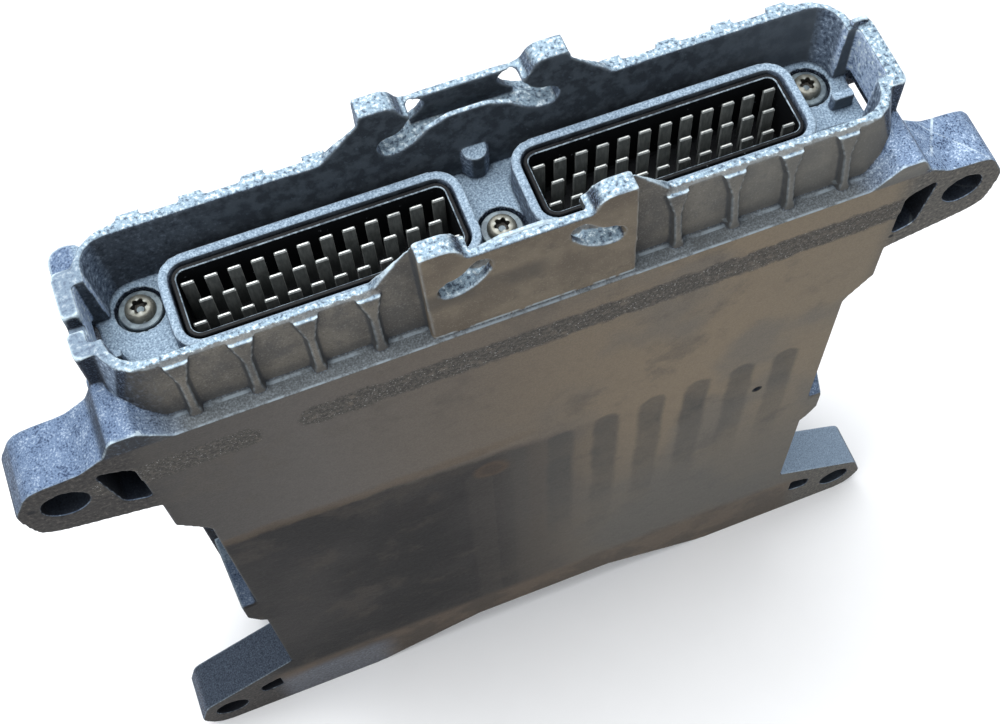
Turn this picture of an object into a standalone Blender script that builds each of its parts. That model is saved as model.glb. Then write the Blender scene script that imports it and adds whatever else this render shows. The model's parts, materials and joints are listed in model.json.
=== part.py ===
"""Engine control unit in a die-cast aluminium housing.

Two 35-way blade connectors stand in a walled bay on top. Four lugs carry the housing by
its flat front face, a bolted plate closes the rear, and the circuit board is inside.

Metres. X runs across, Y from the front mounting face to the rear cover, Z up to the
connectors. Every piece is drawn with the mounting face at y = 0, and one parent empty
moves them all back by half the depth, so the origin is the middle of the base.
"""
import math

import bmesh
import bpy
from mathutils import Matrix, Vector

COLLECTION_NAME = "engine_control_unit"

# Clearances and drawing aids
FIT = 0.0003            # gap between two pieces that seat on each other
EMBED = 0.0006          # how far a fused form reaches into the body that carries it
CLEAR = 0.004           # how far a cutter runs past the face that it opens
MERGE = 0.00001

# Housing body
DEPTH = 0.048           # front mounting face to the rear of the deck and cover
DECK_TOP = 0.204        # floor of the connector bay above the base
DECK_THICKNESS = 0.0045
DECK_HALF = 0.0925      # half width of the deck slab
FACE_BOTTOM = 0.011     # lower edge of the mounting face above the base
WAIST_HALF = 0.0820     # half width of the lower body
SHOULDER_HALF = 0.0886  # half width of the body beside the upper lugs
SHOULDER_BOTTOM = DECK_TOP - 0.043
WAIST_TOP = SHOULDER_BOTTOM - 0.0087
FRONT_WALL = 0.0045
SIDE_WALL = 0.0038
FLOOR_WALL = 0.0040
BODY_CORNER = 0.0020
CAVITY_CORNER = 0.0040

# Rear flange, gasket and cover
FLANGE_HALF = 0.0905
FLANGE_FRONT = 0.030
FLANGE_CORNER = 0.006
GASKET_THICKNESS = 0.0006
GASKET_WIDTH = 0.0080
COVER_THICKNESS = 0.0032
COVER_MARGIN = 0.0008
COVER_PANEL_DEPTH = 0.0006
COVER_PANEL_MARGIN = 0.019
COVER_PANEL_RIB = 0.007
COVER_PANEL_ROWS = 2

# Lugs
LUG_SPAN = 0.210        # between the left and right hole centres
LUG_PITCH = 0.179       # between the lower and upper hole centres
LUG_LOW_Z = 0.0115      # lower hole centres above the base
LUG_HOLE_RADIUS = 0.0050
LUG_DEPTH = 0.0147
LUG_FOOT_INSET = 0.0260 # lower lugs' flat feet, from the side of the body inwards
LUG_FOOT_SLOPE = 0.0360 # run of the slope from a foot up to the face's lower edge
LUG_POCKET_DEPTH = 0.009
FACE_HOLE = (0.0628, 0.1146)    # small blind hole in the mounting face

# Bay wall: outer and inner half sizes at its foot and at its rim
BAY_Y = 0.0244
RIM_HEIGHT = 0.0170     # rim above the deck
RIM_TOP = DECK_TOP + RIM_HEIGHT
BAY_FOOT_HALF = (0.0895, 0.0196)
BAY_RIM_HALF = (0.0872, 0.0175)
BAY_INNER_FOOT_HALF = (0.0838, 0.0131)
BAY_INNER_RIM_HALF = (0.0848, 0.0151)
BAY_CORNERS = (0.0095, 0.0105)          # outside: front corners, rear corners
BAY_INNER_CORNERS = (0.0070, 0.0055)

# Ribs outside the long bay walls
RIB_FIRST_X = 0.0335
RIB_PITCH = 0.0132
RIB_COUNT = 4
RIB_WAIST = 0.0020
RIB_FLARE = 0.0052
RIB_FOOT_REACH = 0.0024 # how far a rib stands out at its foot
RIB_RIM_REACH = 0.0013  # and below the rim

# Hook plates in the middle of the long bay walls
HOOK_HALF = 0.0234      # half width at the top of the plates
HOOK_FLARE = 0.0006     # how much narrower they are at the deck, each side
HOOK_FACE = 0.0009      # set back from the mounting face at the deck
HOOK_DRAFT = 0.082
HOOK_RISE = {"front": 0.0121, "rear": 0.0102}       # humps above the rim
SADDLE_RISE = {"front": 0.0080, "rear": 0.0060}
HUMP_INNER_X = 0.0158
SADDLE_HALF = 0.0134
WEB_HALF = 0.0330
WEB_PROUD = 0.0001      # how far the web stands out from the faces of the wall
HOOK_SLOT_CENTRE = (0.0180, RIM_TOP + 0.0070)
HOOK_SLOT_RADIUS = 0.0081
HOOK_SLOT_WIDTH = 0.0050
HOOK_SLOT_ANGLES = (208.0, 270.0)
SADDLE_POCKET_HALF = 0.0124
SADDLE_POCKET_FLOOR = RIM_TOP - 0.0030
SADDLE_PLATE = 0.0021   # wall left outside the pocket
SADDLE_LIP = 0.0013     # wall left between the pocket and the bay
SADDLE_LIP_RISE = 0.0025

# End walls of the bay, each with a recess inside and a drain under it
END_BLOCK_HALF = 0.0912
END_BLOCK_FRONT = 0.0139
END_BLOCK_REAR = {"left": 0.0348, "right": 0.0328}
END_RECESS_HALF = 0.0875
END_RECESS_FRONT = 0.0170
END_RECESS_REAR = 0.0306
DRAIN_FRONT = 0.0194
DRAIN_HEIGHT = 0.0026
NOTCH_FRONT = 0.0202
NOTCH_REAR = 0.0236
NOTCH_DEPTH = 0.0045
CORNER_BLOCK = ((-0.0923, 0.0330), (-0.0842, 0.0472))
CORNER_BLOCK_HEIGHT = 0.0070
RIGHT_TAB = ((0.0860, 0.0312), (0.0902, 0.0326))
RIGHT_TAB_RISE = 0.0016
RIGHT_TAB_ROOT = 0.0150

# Side bosses with a ramp on top
SIDE_BOSS_HALF = 0.0862
SIDE_BOSS_FOOT = 0.0778
SIDE_BOSS_TOP = 0.0930
SIDE_BOSS_RAMP = 0.0150         # how far the ramp climbs behind the face

# Connectors
CONNECTOR_X = 0.0390
CONNECTOR_Y = 0.0240
PIN_PITCH = 0.0050
ROW_PITCH = 0.0050
LONG_ROW = 12
PIN_TIP = DECK_TOP + 0.0070
PIN_WIDTH = 0.0028
PIN_THICKNESS = 0.0008
TAIL_WIDTH = 0.0010
TAIL_THICKNESS = 0.0006
TAIL_STEP = 0.0033
COLLAR_SIZE = (0.0667, 0.0232)
COLLAR_WALL = 0.0022
COLLAR_TOP = DECK_TOP + 0.0085
COLLAR_CORNER = 0.0060
SHELL_GAP = 0.0006
SHELL_WALL = 0.0011
SHELL_BELOW_COLLAR = 0.0007
SOCKET_DEPTH = 0.0155
HEADER_BASE_HEIGHT = 0.0060
HEADER_FLANGE = (0.0680, 0.0234)
HEADER_FLANGE_THICKNESS = 0.0025
SEAL_THICKNESS = 0.0006
SEAL_SIZE = (0.0670, 0.0226)
SEAL_WIDTH = 0.0019

# Screws that hold the headers and their bracket under the deck
BAY_SCREW_SPOTS = {"left": (-0.0777, 0.0308), "middle": (0.0, 0.0214), "right": (0.0777, 0.0308)}
BAY_SCREW_SHANK = 0.0020
BAY_SCREW_HEAD = 0.0039
BAY_SCREW_HEAD_HEIGHT = 0.0026
BAY_SCREW_HEAD_PROUD = 0.0014
WASHER_RADIUS = 0.0049
WASHER_THICKNESS = 0.0009
RECESS_CLEARANCE = 0.0005
SCREW_BOSS_RADIUS = 0.0045
BRACKET_THICKNESS = 0.0020
BRACKET_HALF = 0.0822
BRACKET_NUT_HEIGHT = 0.0050
BRACKET_NUT_RADIUS = 0.0040

# Cover screws
COVER_SCREW_ROWS = 4
COVER_SCREW_EDGE = 0.0060
COVER_SCREW_SHANK = 0.0018
COVER_SCREW_HEAD = 0.0034
COVER_SCREW_HEAD_HEIGHT = 0.0018
COVER_SCREW_LENGTH = 0.0100

# Circuit board
BOARD_Y = 0.0100        # front surface of the board behind the mounting face
BOARD_THICKNESS = 0.0016
BOARD_HALF = 0.0740
BOARD_BOTTOM = FACE_BOTTOM + 0.0090
BOARD_TOP = DECK_TOP - 0.0160
BOARD_SCREW_X = 0.0690
BOARD_SCREW_HEIGHTS = (BOARD_BOTTOM + 0.0060, BOARD_TOP - 0.0200)
BOARD_POST_RADIUS = 0.0038
BOARD_SCREW_SHANK = 0.0012
BOARD_SCREW_HEAD = 0.0026
BOARD_SCREW_HEAD_HEIGHT = 0.0018
BOARD_SCREW_LENGTH = 0.0060
PEDESTAL_Y = 0.0076
PEDESTAL_HALF = 0.0460
PEDESTAL_SPAN = (BOARD_BOTTOM + 0.0120, BOARD_BOTTOM + 0.0580)

# Parts on the board: centre above the board's lower edge, then width, height and thickness
PROCESSOR = (-0.0100, 0.0920, 0.0280, 0.0280, 0.0034)
MEMORY_CHIP = (0.0260, 0.0980, 0.0140, 0.0200, 0.0026)
CRYSTAL = (0.0140, 0.1220, 0.0110, 0.0048, 0.0036)
DRIVER_CHIP = (-0.0360, 0.0380, 0.0160, 0.0140, 0.0030)
DRIVER_PITCH = 0.0240
DRIVER_COUNT = 4
CAPACITOR_SPOT = (0.0560, 0.0380)
CAPACITOR_PITCH = 0.0200
CAPACITOR_COUNT = 3
CAPACITOR_RADIUS = 0.0080
CAPACITOR_HEIGHT = 0.0210
COIL_SPOT = (-0.0460, 0.1220)
COIL_HEIGHT = 0.0130
COIL_WINDING = 0.0095
COIL_RADIUS = 0.0110
SENSOR_SPOT = (0.0520, 0.1280)
SENSOR_WIDTH = 0.0100
SENSOR_THICKNESS = 0.0045
SENSOR_PORT_RADIUS = 0.0016
SENSOR_PORT_REACH = 0.0045

# Colours and finishes: base colour, metallic, roughness
FINISHES = {
    "cast_aluminium": ((0.42, 0.44, 0.46, 1.0), 0.85, 0.55),
    "sheet_steel": ((0.50, 0.50, 0.50, 1.0), 1.0, 0.40),
    "plated_steel": ((0.42, 0.40, 0.34, 1.0), 1.0, 0.35),
    "black_plastic": ((0.02, 0.02, 0.022, 1.0), 0.0, 0.45),
    "silicone": ((0.09, 0.09, 0.10, 1.0), 0.0, 0.70),
    "board": ((0.02, 0.16, 0.07, 1.0), 0.0, 0.45),
    "chip": ((0.03, 0.03, 0.03, 1.0), 0.0, 0.55),
    "can": ((0.55, 0.56, 0.58, 1.0), 0.9, 0.35),
    "coil": ((0.45, 0.20, 0.08, 1.0), 0.7, 0.40),
    "pad": ((0.45, 0.50, 0.60, 1.0), 0.0, 0.80),
}


# Scene set-up

def clear_scene():
    for old in list(bpy.data.objects):
        bpy.data.objects.remove(old, do_unlink=True)


def make_collection(name):
    found = bpy.data.collections.get(name)
    if found is None:
        found = bpy.data.collections.new(name)
        bpy.context.scene.collection.children.link(found)
    return found


def make_finish(name):
    colour, metallic, roughness = FINISHES[name]
    material = bpy.data.materials.get(name) or bpy.data.materials.new(name)
    material.use_nodes = True
    shader = material.node_tree.nodes["Principled BSDF"]
    shader.inputs["Base Color"].default_value = colour
    shader.inputs["Metallic"].default_value = metallic
    shader.inputs["Roughness"].default_value = roughness
    material.diffuse_color = colour
    return material


clear_scene()
PARTS = make_collection(COLLECTION_NAME)
CUTTERS = make_collection("cutters")
ROOT = bpy.data.objects.new("frame", None)
ROOT.location = (0.0, -DEPTH / 2, 0.0)
PARTS.objects.link(ROOT)

# Axes of a flat outline (u, v) and of its extrusion in the part's frame
PLANES = {
    "xy": Matrix(((1, 0, 0), (0, 1, 0), (0, 0, 1))),
    "xz": Matrix(((1, 0, 0), (0, 0, 1), (0, 1, 0))),
    "yz": Matrix(((0, 0, 1), (1, 0, 0), (0, 1, 0))),
}
AXIS_TURN = {
    "z": Matrix.Identity(4),
    "y": Matrix.Rotation(-math.pi / 2, 4, "X"),
    "x": Matrix.Rotation(math.pi / 2, 4, "Y"),
}


# Outlines

def rounded(corners, steps=4):
    """Closed outline through (u, v, radius) corners, each turned by an arc."""
    points = []
    count = len(corners)
    for index, (u, v, radius) in enumerate(corners):
        here = Vector((u, v))
        if radius <= 0.0:
            points.append((u, v))
            continue
        before = Vector(corners[index - 1][:2]) - here
        after = Vector(corners[(index + 1) % count][:2]) - here
        half_angle = before.angle(after) / 2
        limit = 0.48 * min(before.length, after.length)
        reach = min(radius / math.tan(half_angle), limit)
        arc_radius = reach * math.tan(half_angle)
        middle = (before.normalized() + after.normalized()).normalized()
        centre = here + middle * (arc_radius / math.sin(half_angle))
        start = here + before.normalized() * reach - centre
        stop = here + after.normalized() * reach - centre
        turn = start.angle_signed(stop)
        for step in range(steps + 1):
            angle = math.atan2(start.y, start.x) - turn * step / steps
            points.append((centre.x + arc_radius * math.cos(angle),
                           centre.y + arc_radius * math.sin(angle)))
    return points


def rectangle(centre, size, radius=0.0, steps=4):
    u, v = centre
    half_u, half_v = size[0] / 2, size[1] / 2
    corners = [(u - half_u, v - half_v, radius), (u + half_u, v - half_v, radius),
               (u + half_u, v + half_v, radius), (u - half_u, v + half_v, radius)]
    return rounded(corners, steps)


def span_rectangle(low, high, radius=0.0, steps=4):
    centre = ((low[0] + high[0]) / 2, (low[1] + high[1]) / 2)
    return rectangle(centre, (high[0] - low[0], high[1] - low[1]), radius, steps)


def flip(outline, centre=0.0):
    return [(2 * centre - u, v) for u, v in reversed(outline)]


def arc_slot(centre, radius, width, angles, steps=4):
    """Outline of a slot of even width that follows an arc, with round ends."""
    first, last = (math.radians(angle) for angle in angles)

    def on_arc(reach, angle, about=centre):
        return (about[0] + reach * math.cos(angle), about[1] + reach * math.sin(angle))

    outline = [on_arc(radius + width / 2, first + (last - first) * step / steps)
               for step in range(steps + 1)]
    far_end = on_arc(radius, last)
    outline += [on_arc(width / 2, last + math.pi * step / 4, far_end) for step in range(1, 4)]
    outline += [on_arc(radius - width / 2, last + (first - last) * step / steps)
                for step in range(steps + 1)]
    near_end = on_arc(radius, first)
    outline += [on_arc(width / 2, first + math.pi + math.pi * step / 4, near_end)
                for step in range(1, 4)]
    return outline


# Solids

def add_object(name, mesh, collection=CUTTERS):
    created = bpy.data.objects.new(name, mesh)
    created.parent = ROOT
    collection.objects.link(created)
    if collection is CUTTERS:
        created.hide_render = True
        created.display_type = "WIRE"
    return created


def prism(name, outlines, span, plane):
    """Flat outline, or an outline with holes, extruded over span across the plane."""
    curve = bpy.data.curves.new(name, "CURVE")
    curve.dimensions = "2D"
    curve.fill_mode = "BOTH"
    curve.extrude = abs(span[1] - span[0]) / 2
    for outline in outlines:
        spline = curve.splines.new("POLY")
        spline.points.add(len(outline) - 1)
        for point, (u, v) in zip(spline.points, outline):
            point.co = (u, v, 0.0, 1.0)
        spline.use_cyclic_u = True
    flat = bpy.data.objects.new(name + "_outline", curve)
    CUTTERS.objects.link(flat)
    graph = bpy.context.evaluated_depsgraph_get()
    mesh = bpy.data.meshes.new_from_object(flat.evaluated_get(graph))
    bpy.data.objects.remove(flat, do_unlink=True)
    for vertex in mesh.vertices:
        vertex.co.z = span[0] if vertex.co.z < 0.0 else span[1]
    place = PLANES[plane]
    for vertex in mesh.vertices:
        vertex.co = place @ vertex.co
    weld(mesh)
    return add_object(name, mesh)


def weld(mesh):
    cage = bmesh.new()
    cage.from_mesh(mesh)
    bmesh.ops.remove_doubles(cage, verts=cage.verts, dist=MERGE)
    bmesh.ops.recalc_face_normals(cage, faces=cage.faces)
    cage.to_mesh(mesh)
    cage.free()


def block(name, low, high):
    cage = bmesh.new()
    bmesh.ops.create_cube(cage, size=2.0)
    for vertex in cage.verts:
        vertex.co = [b if side > 0 else a for side, a, b in zip(vertex.co, low, high)]
    mesh = bpy.data.meshes.new(name)
    cage.to_mesh(mesh)
    cage.free()
    return add_object(name, mesh)


def cylinder(name, base, axis, radius, length, segments=20):
    """Round bar from base along +axis."""
    cage = bmesh.new()
    place = Matrix.Translation(base) @ AXIS_TURN[axis] @ Matrix.Translation((0, 0, length / 2))
    bmesh.ops.create_cone(cage, cap_ends=True, segments=segments, radius1=radius,
                          radius2=radius, depth=length, matrix=place)
    mesh = bpy.data.meshes.new(name)
    cage.to_mesh(mesh)
    cage.free()
    return add_object(name, mesh)


def loft(name, lower, upper, levels):
    """Closed body between two outlines of equal length at two heights."""
    cage = bmesh.new()
    rings = [[cage.verts.new((x, y, z)) for x, y in outline]
             for outline, z in zip((lower, upper), levels)]
    count = len(lower)
    for index in range(count):
        after = (index + 1) % count
        cage.faces.new((rings[0][index], rings[0][after], rings[1][after], rings[1][index]))
    cage.faces.new(rings[0])
    cage.faces.new(rings[1])
    bmesh.ops.recalc_face_normals(cage, faces=cage.faces)
    mesh = bpy.data.meshes.new(name)
    cage.to_mesh(mesh)
    cage.free()
    return add_object(name, mesh)


def turned(name, profile, base, axis, segments=16):
    """Body of revolution of (radius, height) points, listed from the top to the foot."""
    mesh = bpy.data.meshes.new(name)
    points = [(radius, 0.0, height) for radius, height in profile]
    mesh.from_pydata(points, [(i, i + 1) for i in range(len(points) - 1)], [])
    body = add_object(name, mesh)
    spin = body.modifiers.new("turn", "SCREW")
    spin.axis = "Z"
    spin.steps = spin.render_steps = segments
    spin.use_merge_vertices = True
    spin.merge_threshold = MERGE
    body.matrix_local = Matrix.Translation(base) @ AXIS_TURN[axis]
    return body


def lean(body, front, rear):
    """Tilt the front and rear faces of a plate: each is (y at the deck, slope in z)."""
    middle = sum(vertex.co.y for vertex in body.data.vertices) / len(body.data.vertices)
    for vertex in body.data.vertices:
        start, slope = front if vertex.co.y < middle else rear
        vertex.co.y = start + slope * (vertex.co.z - DECK_TOP)
    return body


def mirror_y(body, about=BAY_Y):
    """Turn a body made for the front wall round to the rear wall."""
    body.data.transform(Matrix.Translation((0, 2 * about, 0)) @ Matrix.Scale(-1, 4, (0, 1, 0)))
    body.data.flip_normals()
    return body


def boolean(target, tool, operation):
    step = target.modifiers.new(operation.lower() + "_" + tool.name, "BOOLEAN")
    step.operation = operation
    step.solver = "EXACT"
    step.object = tool
    return target


def fuse(target, *tools):
    for tool in tools:
        boolean(target, tool, "UNION")
    return target


def cut(target, *tools):
    for tool in tools:
        boolean(target, tool, "DIFFERENCE")
    return target


def finish_part(body, name, finish, smooth=True):
    """Move a finished body into the parts with its own name and material."""
    body.name = name
    body.data.name = name
    CUTTERS.objects.unlink(body)
    PARTS.objects.link(body)
    body.hide_render = False
    body.display_type = "TEXTURED"
    body.data.materials.clear()
    body.data.materials.append(make_finish(finish))
    if smooth:
        body.data.shade_smooth()
        body.data.set_sharp_from_angle(angle=math.radians(32))
    return body


# Housing: body, flange, deck and lugs

LUG_HOLE_X = LUG_SPAN / 2
LUG_HIGH_Z = LUG_LOW_Z + LUG_PITCH
SEAT_Y = DEPTH - COVER_THICKNESS - 2 * FIT - GASKET_THICKNESS
DECK_UNDERSIDE = DECK_TOP - DECK_THICKNESS
COVER_TOP = DECK_UNDERSIDE - FIT


def body_outline():
    right = [(WAIST_HALF, FACE_BOTTOM, BODY_CORNER), (WAIST_HALF, WAIST_TOP, BODY_CORNER),
             (SHOULDER_HALF, SHOULDER_BOTTOM, BODY_CORNER), (SHOULDER_HALF, DECK_TOP, BODY_CORNER)]
    left = [(-x, z, radius) for x, z, radius in reversed(right)]
    return rounded(right + left, 2)


def upper_lug_outline():
    x, z = LUG_HOLE_X, LUG_HIGH_Z
    root = WAIST_HALF - 0.004
    return rounded([
        (root, z - 0.0175, 0.0), (SHOULDER_HALF + 0.0010, z - 0.0163, 0.0020),
        (x + 0.0025, z - 0.0122, 0.0030), (x + 0.0085, z - 0.0100, 0.0050),
        (x + 0.0103, z + 0.0010, 0.0050), (x + 0.0055, z + 0.0098, 0.0050),
        (x - 0.0060, z + 0.0108, 0.0040), (SHOULDER_HALF + 0.0050, z + 0.0142, 0.0030),
        (SHOULDER_HALF + 0.0022, z + 0.0195, 0.0020), (SHOULDER_HALF - 0.0030, z + 0.0195, 0.0015),
        (root, DECK_TOP - EMBED, 0.0)], 2)


def lower_lug_outline():
    x, z = LUG_HOLE_X, LUG_LOW_Z
    inner_foot = WAIST_HALF - LUG_FOOT_INSET
    slope_end = inner_foot - LUG_FOOT_SLOPE
    return rounded([
        (slope_end, FACE_BOTTOM + EMBED, 0.0), (inner_foot, 0.0, 0.0080),
        (x + 0.0065, 0.0, 0.0060), (x + 0.0103, z - 0.0030, 0.0040),
        (x + 0.0070, z + 0.0070, 0.0050), (WAIST_HALF + 0.0004, z + 0.0228, 0.0030),
        (WAIST_HALF - 0.004, z + 0.0250, 0.0), (slope_end, z + 0.0250, 0.0)], 2)


def side_boss(side):
    """Boss that stands out beside the face, with a ramp on top and its lower corner cut off."""
    climb = SIDE_BOSS_RAMP * 1.25
    profile = [(0.0, SIDE_BOSS_FOOT), (LUG_DEPTH, SIDE_BOSS_FOOT),
               (LUG_DEPTH, SIDE_BOSS_TOP + climb * LUG_DEPTH / SIDE_BOSS_RAMP), (0.0, SIDE_BOSS_TOP)]
    inner = WAIST_HALF - 0.002
    low, high = sorted((side * inner, side * SIDE_BOSS_HALF))
    boss = prism("side_boss", [profile], (low, high), "yz")
    corner = [(side * (WAIST_HALF - 0.0006), SIDE_BOSS_FOOT - CLEAR),
              (side * (SIDE_BOSS_HALF + CLEAR), SIDE_BOSS_FOOT - CLEAR),
              (side * (SIDE_BOSS_HALF + CLEAR), SIDE_BOSS_FOOT + 0.0125),
              (side * SIDE_BOSS_HALF, SIDE_BOSS_FOOT + 0.0070),
              (side * (WAIST_HALF + 0.0018), SIDE_BOSS_FOOT + 0.0020),
              (side * (WAIST_HALF - 0.0006), SIDE_BOSS_FOOT - 0.0006)]
    return cut(boss, prism("boss_corner", [corner], (-CLEAR, LUG_DEPTH + CLEAR), "xz"))


def sided_prism(name, outline, span):
    """Right and left copies of an outline in the XZ plane."""
    return [prism(name + "_right", [outline], span, "xz"),
            prism(name + "_left", [flip(outline)], span, "xz")]


def housing_shell():
    body = prism("housing_body", [body_outline()], (0.0, SEAT_Y), "xz")
    flange_outline = span_rectangle((-FLANGE_HALF, 0.0), (FLANGE_HALF, COVER_TOP), FLANGE_CORNER, 3)
    flange = prism("housing_flange", [flange_outline], (FLANGE_FRONT, SEAT_Y), "xz")
    deck_front = BAY_Y - BAY_FOOT_HALF[1] - 0.0010
    deck_outline = span_rectangle((-DECK_HALF, deck_front), (DECK_HALF, DEPTH), FLANGE_CORNER, 3)
    deck = prism("housing_deck", [deck_outline], (DECK_UNDERSIDE, DECK_TOP), "xy")
    fuse(body, flange, deck)
    fuse(body, *sided_prism("upper_lug", upper_lug_outline(), (0.0, LUG_DEPTH)))
    fuse(body, *sided_prism("lower_lug", lower_lug_outline(), (0.0, LUG_DEPTH)))
    return fuse(body, side_boss(1), side_boss(-1))


# Bay walls, ribs, hook plates and end blocks

def bay_section(half, corners):
    """Outline of the bay wall with one radius for the front corners and one for the rear."""
    front, rear = corners
    x, low, high = half[0], BAY_Y - half[1], BAY_Y + half[1]
    return rounded([(-x, low, front), (x, low, front), (x, high, rear), (-x, high, rear)], 4)


def extend(foot, rim, levels, z):
    """Half size at height z on the straight line through the foot and rim sizes."""
    share = (z - levels[0]) / (levels[1] - levels[0])
    return tuple(a + (b - a) * share for a, b in zip(foot, rim))


def bay_wall():
    levels = (DECK_TOP, RIM_TOP)
    outer_levels = (DECK_TOP - EMBED, RIM_TOP)
    inner_levels = (DECK_TOP - CLEAR, RIM_TOP + CLEAR)
    outer = [bay_section(extend(BAY_FOOT_HALF, BAY_RIM_HALF, levels, z), BAY_CORNERS)
             for z in outer_levels]
    inner = [bay_section(extend(BAY_INNER_FOOT_HALF, BAY_INNER_RIM_HALF, levels, z),
                         BAY_INNER_CORNERS) for z in inner_levels]
    wall = loft("bay_wall", *outer, outer_levels)
    return cut(wall, loft("bay_space", *inner, inner_levels))


def wall_face(foot_half, rim_half):
    """Front face of a bay wall as (y at the deck, slope in z)."""
    slope = (foot_half[1] - rim_half[1]) / (RIM_TOP - DECK_TOP)
    return (BAY_Y - foot_half[1], slope)


WALL_OUTSIDE = wall_face(BAY_FOOT_HALF, BAY_RIM_HALF)
WALL_INSIDE = wall_face(BAY_INNER_FOOT_HALF, BAY_INNER_RIM_HALF)


def rib(x):
    """Rib with a narrow waist that flares into the rim and into the deck."""
    top, waist = RIM_TOP - WEB_PROUD, RIB_WAIST / 2
    right = [(waist * 1.8, DECK_TOP - EMBED), (waist, DECK_TOP + 0.0028), (waist, top - 0.0058),
             (RIB_FLARE / 2, top)]
    outline = [(x + u, z) for u, z in right] + [(x - u, z) for u, z in reversed(right)]
    body = prism("rib", [outline], (0.0, 0.01), "xz")
    outside = WALL_OUTSIDE[0] - RIB_FOOT_REACH
    slope = WALL_OUTSIDE[1] + (RIB_FOOT_REACH - RIB_RIM_REACH) / RIM_HEIGHT
    behind = WALL_OUTSIDE[0] + EMBED
    return lean(body, (outside, slope), (behind, WALL_OUTSIDE[1]))


def ribs():
    bodies = []
    for number in range(RIB_COUNT):
        x = RIB_FIRST_X + number * RIB_PITCH
        for side in (-1, 1):
            bodies.append(rib(side * x))
            bodies.append(mirror_y(rib(side * x)))
    return bodies


def crest(side):
    """Outline of the wall in its middle: two humps, the saddle and the slopes to the rim."""
    top, saddle = RIM_TOP + HOOK_RISE[side], RIM_TOP + SADDLE_RISE[side]
    right = [(SADDLE_HALF, saddle, 0.0015), (HUMP_INNER_X, top, 0.0040), (HOOK_HALF, top, 0.0022),
             (HOOK_HALF + 0.0006, top - 0.0025, 0.0), (WEB_HALF, RIM_TOP, 0.0030),
             (WEB_HALF + 0.006, RIM_TOP - 0.0005, 0.0), (WEB_HALF + 0.006, DECK_TOP - EMBED, 0.0)]
    left = [(-x, z, radius) for x, z, radius in reversed(right)]
    return rounded(right + left, 3)


def hook_slot(side):
    outline = arc_slot(HOOK_SLOT_CENTRE, HOOK_SLOT_RADIUS, HOOK_SLOT_WIDTH, HOOK_SLOT_ANGLES)
    outline = outline if side > 0 else flip(outline)
    return prism("hook_slot", [outline], (-CLEAR, BAY_Y - 0.004), "xz")


def saddle_pocket():
    """Trough behind the saddle, and the space over its arched lip on the bay's side."""
    half, floor, roof = SADDLE_POCKET_HALF, SADDLE_POCKET_FLOOR, RIM_TOP + HOOK_RISE["front"] + CLEAR
    trough_outline = rounded([(-half, floor, 0.0015), (half, floor, 0.0015), (half, roof, 0.0),
                              (-half, roof, 0.0)], 2)
    trough = prism("saddle_trough", [trough_outline], (0.0, 0.01), "xz")
    lip_face = WALL_INSIDE[0] - SADDLE_LIP
    lean(trough, (HOOK_FACE + SADDLE_PLATE, HOOK_DRAFT), (lip_face, WALL_INSIDE[1]))
    arch = RIM_TOP + SADDLE_LIP_RISE
    shoulder, foot = (half * 0.78, RIM_TOP + 0.0004), (half, RIM_TOP - 0.0010)
    over_lip = rounded([(-foot[0], foot[1], 0.0), (-shoulder[0], shoulder[1], 0.0030),
                        (-half / 3, arch, 0.0040), (half / 3, arch, 0.0040),
                        (*shoulder, 0.0030), (*foot, 0.0), (half, roof, 0.0), (-half, roof, 0.0)], 2)
    space = prism("over_lip", [over_lip], (0.0, 0.01), "xz")
    lean(space, (lip_face - EMBED, WALL_INSIDE[1]), (WALL_INSIDE[0] + CLEAR, 0.0))
    return [trough, space]


def hook_wall(side):
    """Hook plate with its web, and the cutters for its two slots and the saddle pocket."""
    wall = prism("hook_wall_" + side, [crest(side)], (0.0, 0.01), "xz")
    lean(wall, (HOOK_FACE, HOOK_DRAFT), (WALL_INSIDE[0] + WEB_PROUD, WALL_INSIDE[1]))
    openings = [hook_slot(1), hook_slot(-1), *saddle_pocket()]
    tools = []
    roof, far = RIM_TOP + HOOK_RISE[side] + CLEAR, WEB_HALF + 0.01
    beside = [(HOOK_HALF - HOOK_FLARE, DECK_TOP - CLEAR), (far, DECK_TOP - CLEAR), (far, roof),
              (HOOK_HALF, roof)]
    for outside in sided_prism("beside_hook", beside, (0.0, 0.01)):
        tools.append(lean(outside, (-CLEAR, 0.0), (WALL_OUTSIDE[0] + WEB_PROUD, WALL_OUTSIDE[1])))
    if side == "rear":
        for body in (wall, *tools, *openings):
            mirror_y(body)
    return cut(wall, *tools), openings


def end_blocks(housing):
    inner = BAY_INNER_RIM_HALF[0] + EMBED
    for side, name in ((1, "right"), (-1, "left")):
        outline = span_rectangle((inner, END_BLOCK_FRONT), (END_BLOCK_HALF, END_BLOCK_REAR[name]),
                                 0.0012, 2)
        outline = outline if side > 0 else flip(outline)
        fuse(housing, prism("end_block", [outline], (DECK_TOP - EMBED, RIM_TOP - WEB_PROUD), "xy"))
    corner = prism("corner_block", [span_rectangle(*CORNER_BLOCK, 0.0035, 3)],
                   (DECK_TOP - EMBED, DECK_TOP + CORNER_BLOCK_HEIGHT), "xy")
    low, high = RIGHT_TAB
    tab = block("end_tab", (*low, RIM_TOP - RIGHT_TAB_ROOT), (*high, RIM_TOP + RIGHT_TAB_RISE))
    return fuse(housing, corner, tab)


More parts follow.
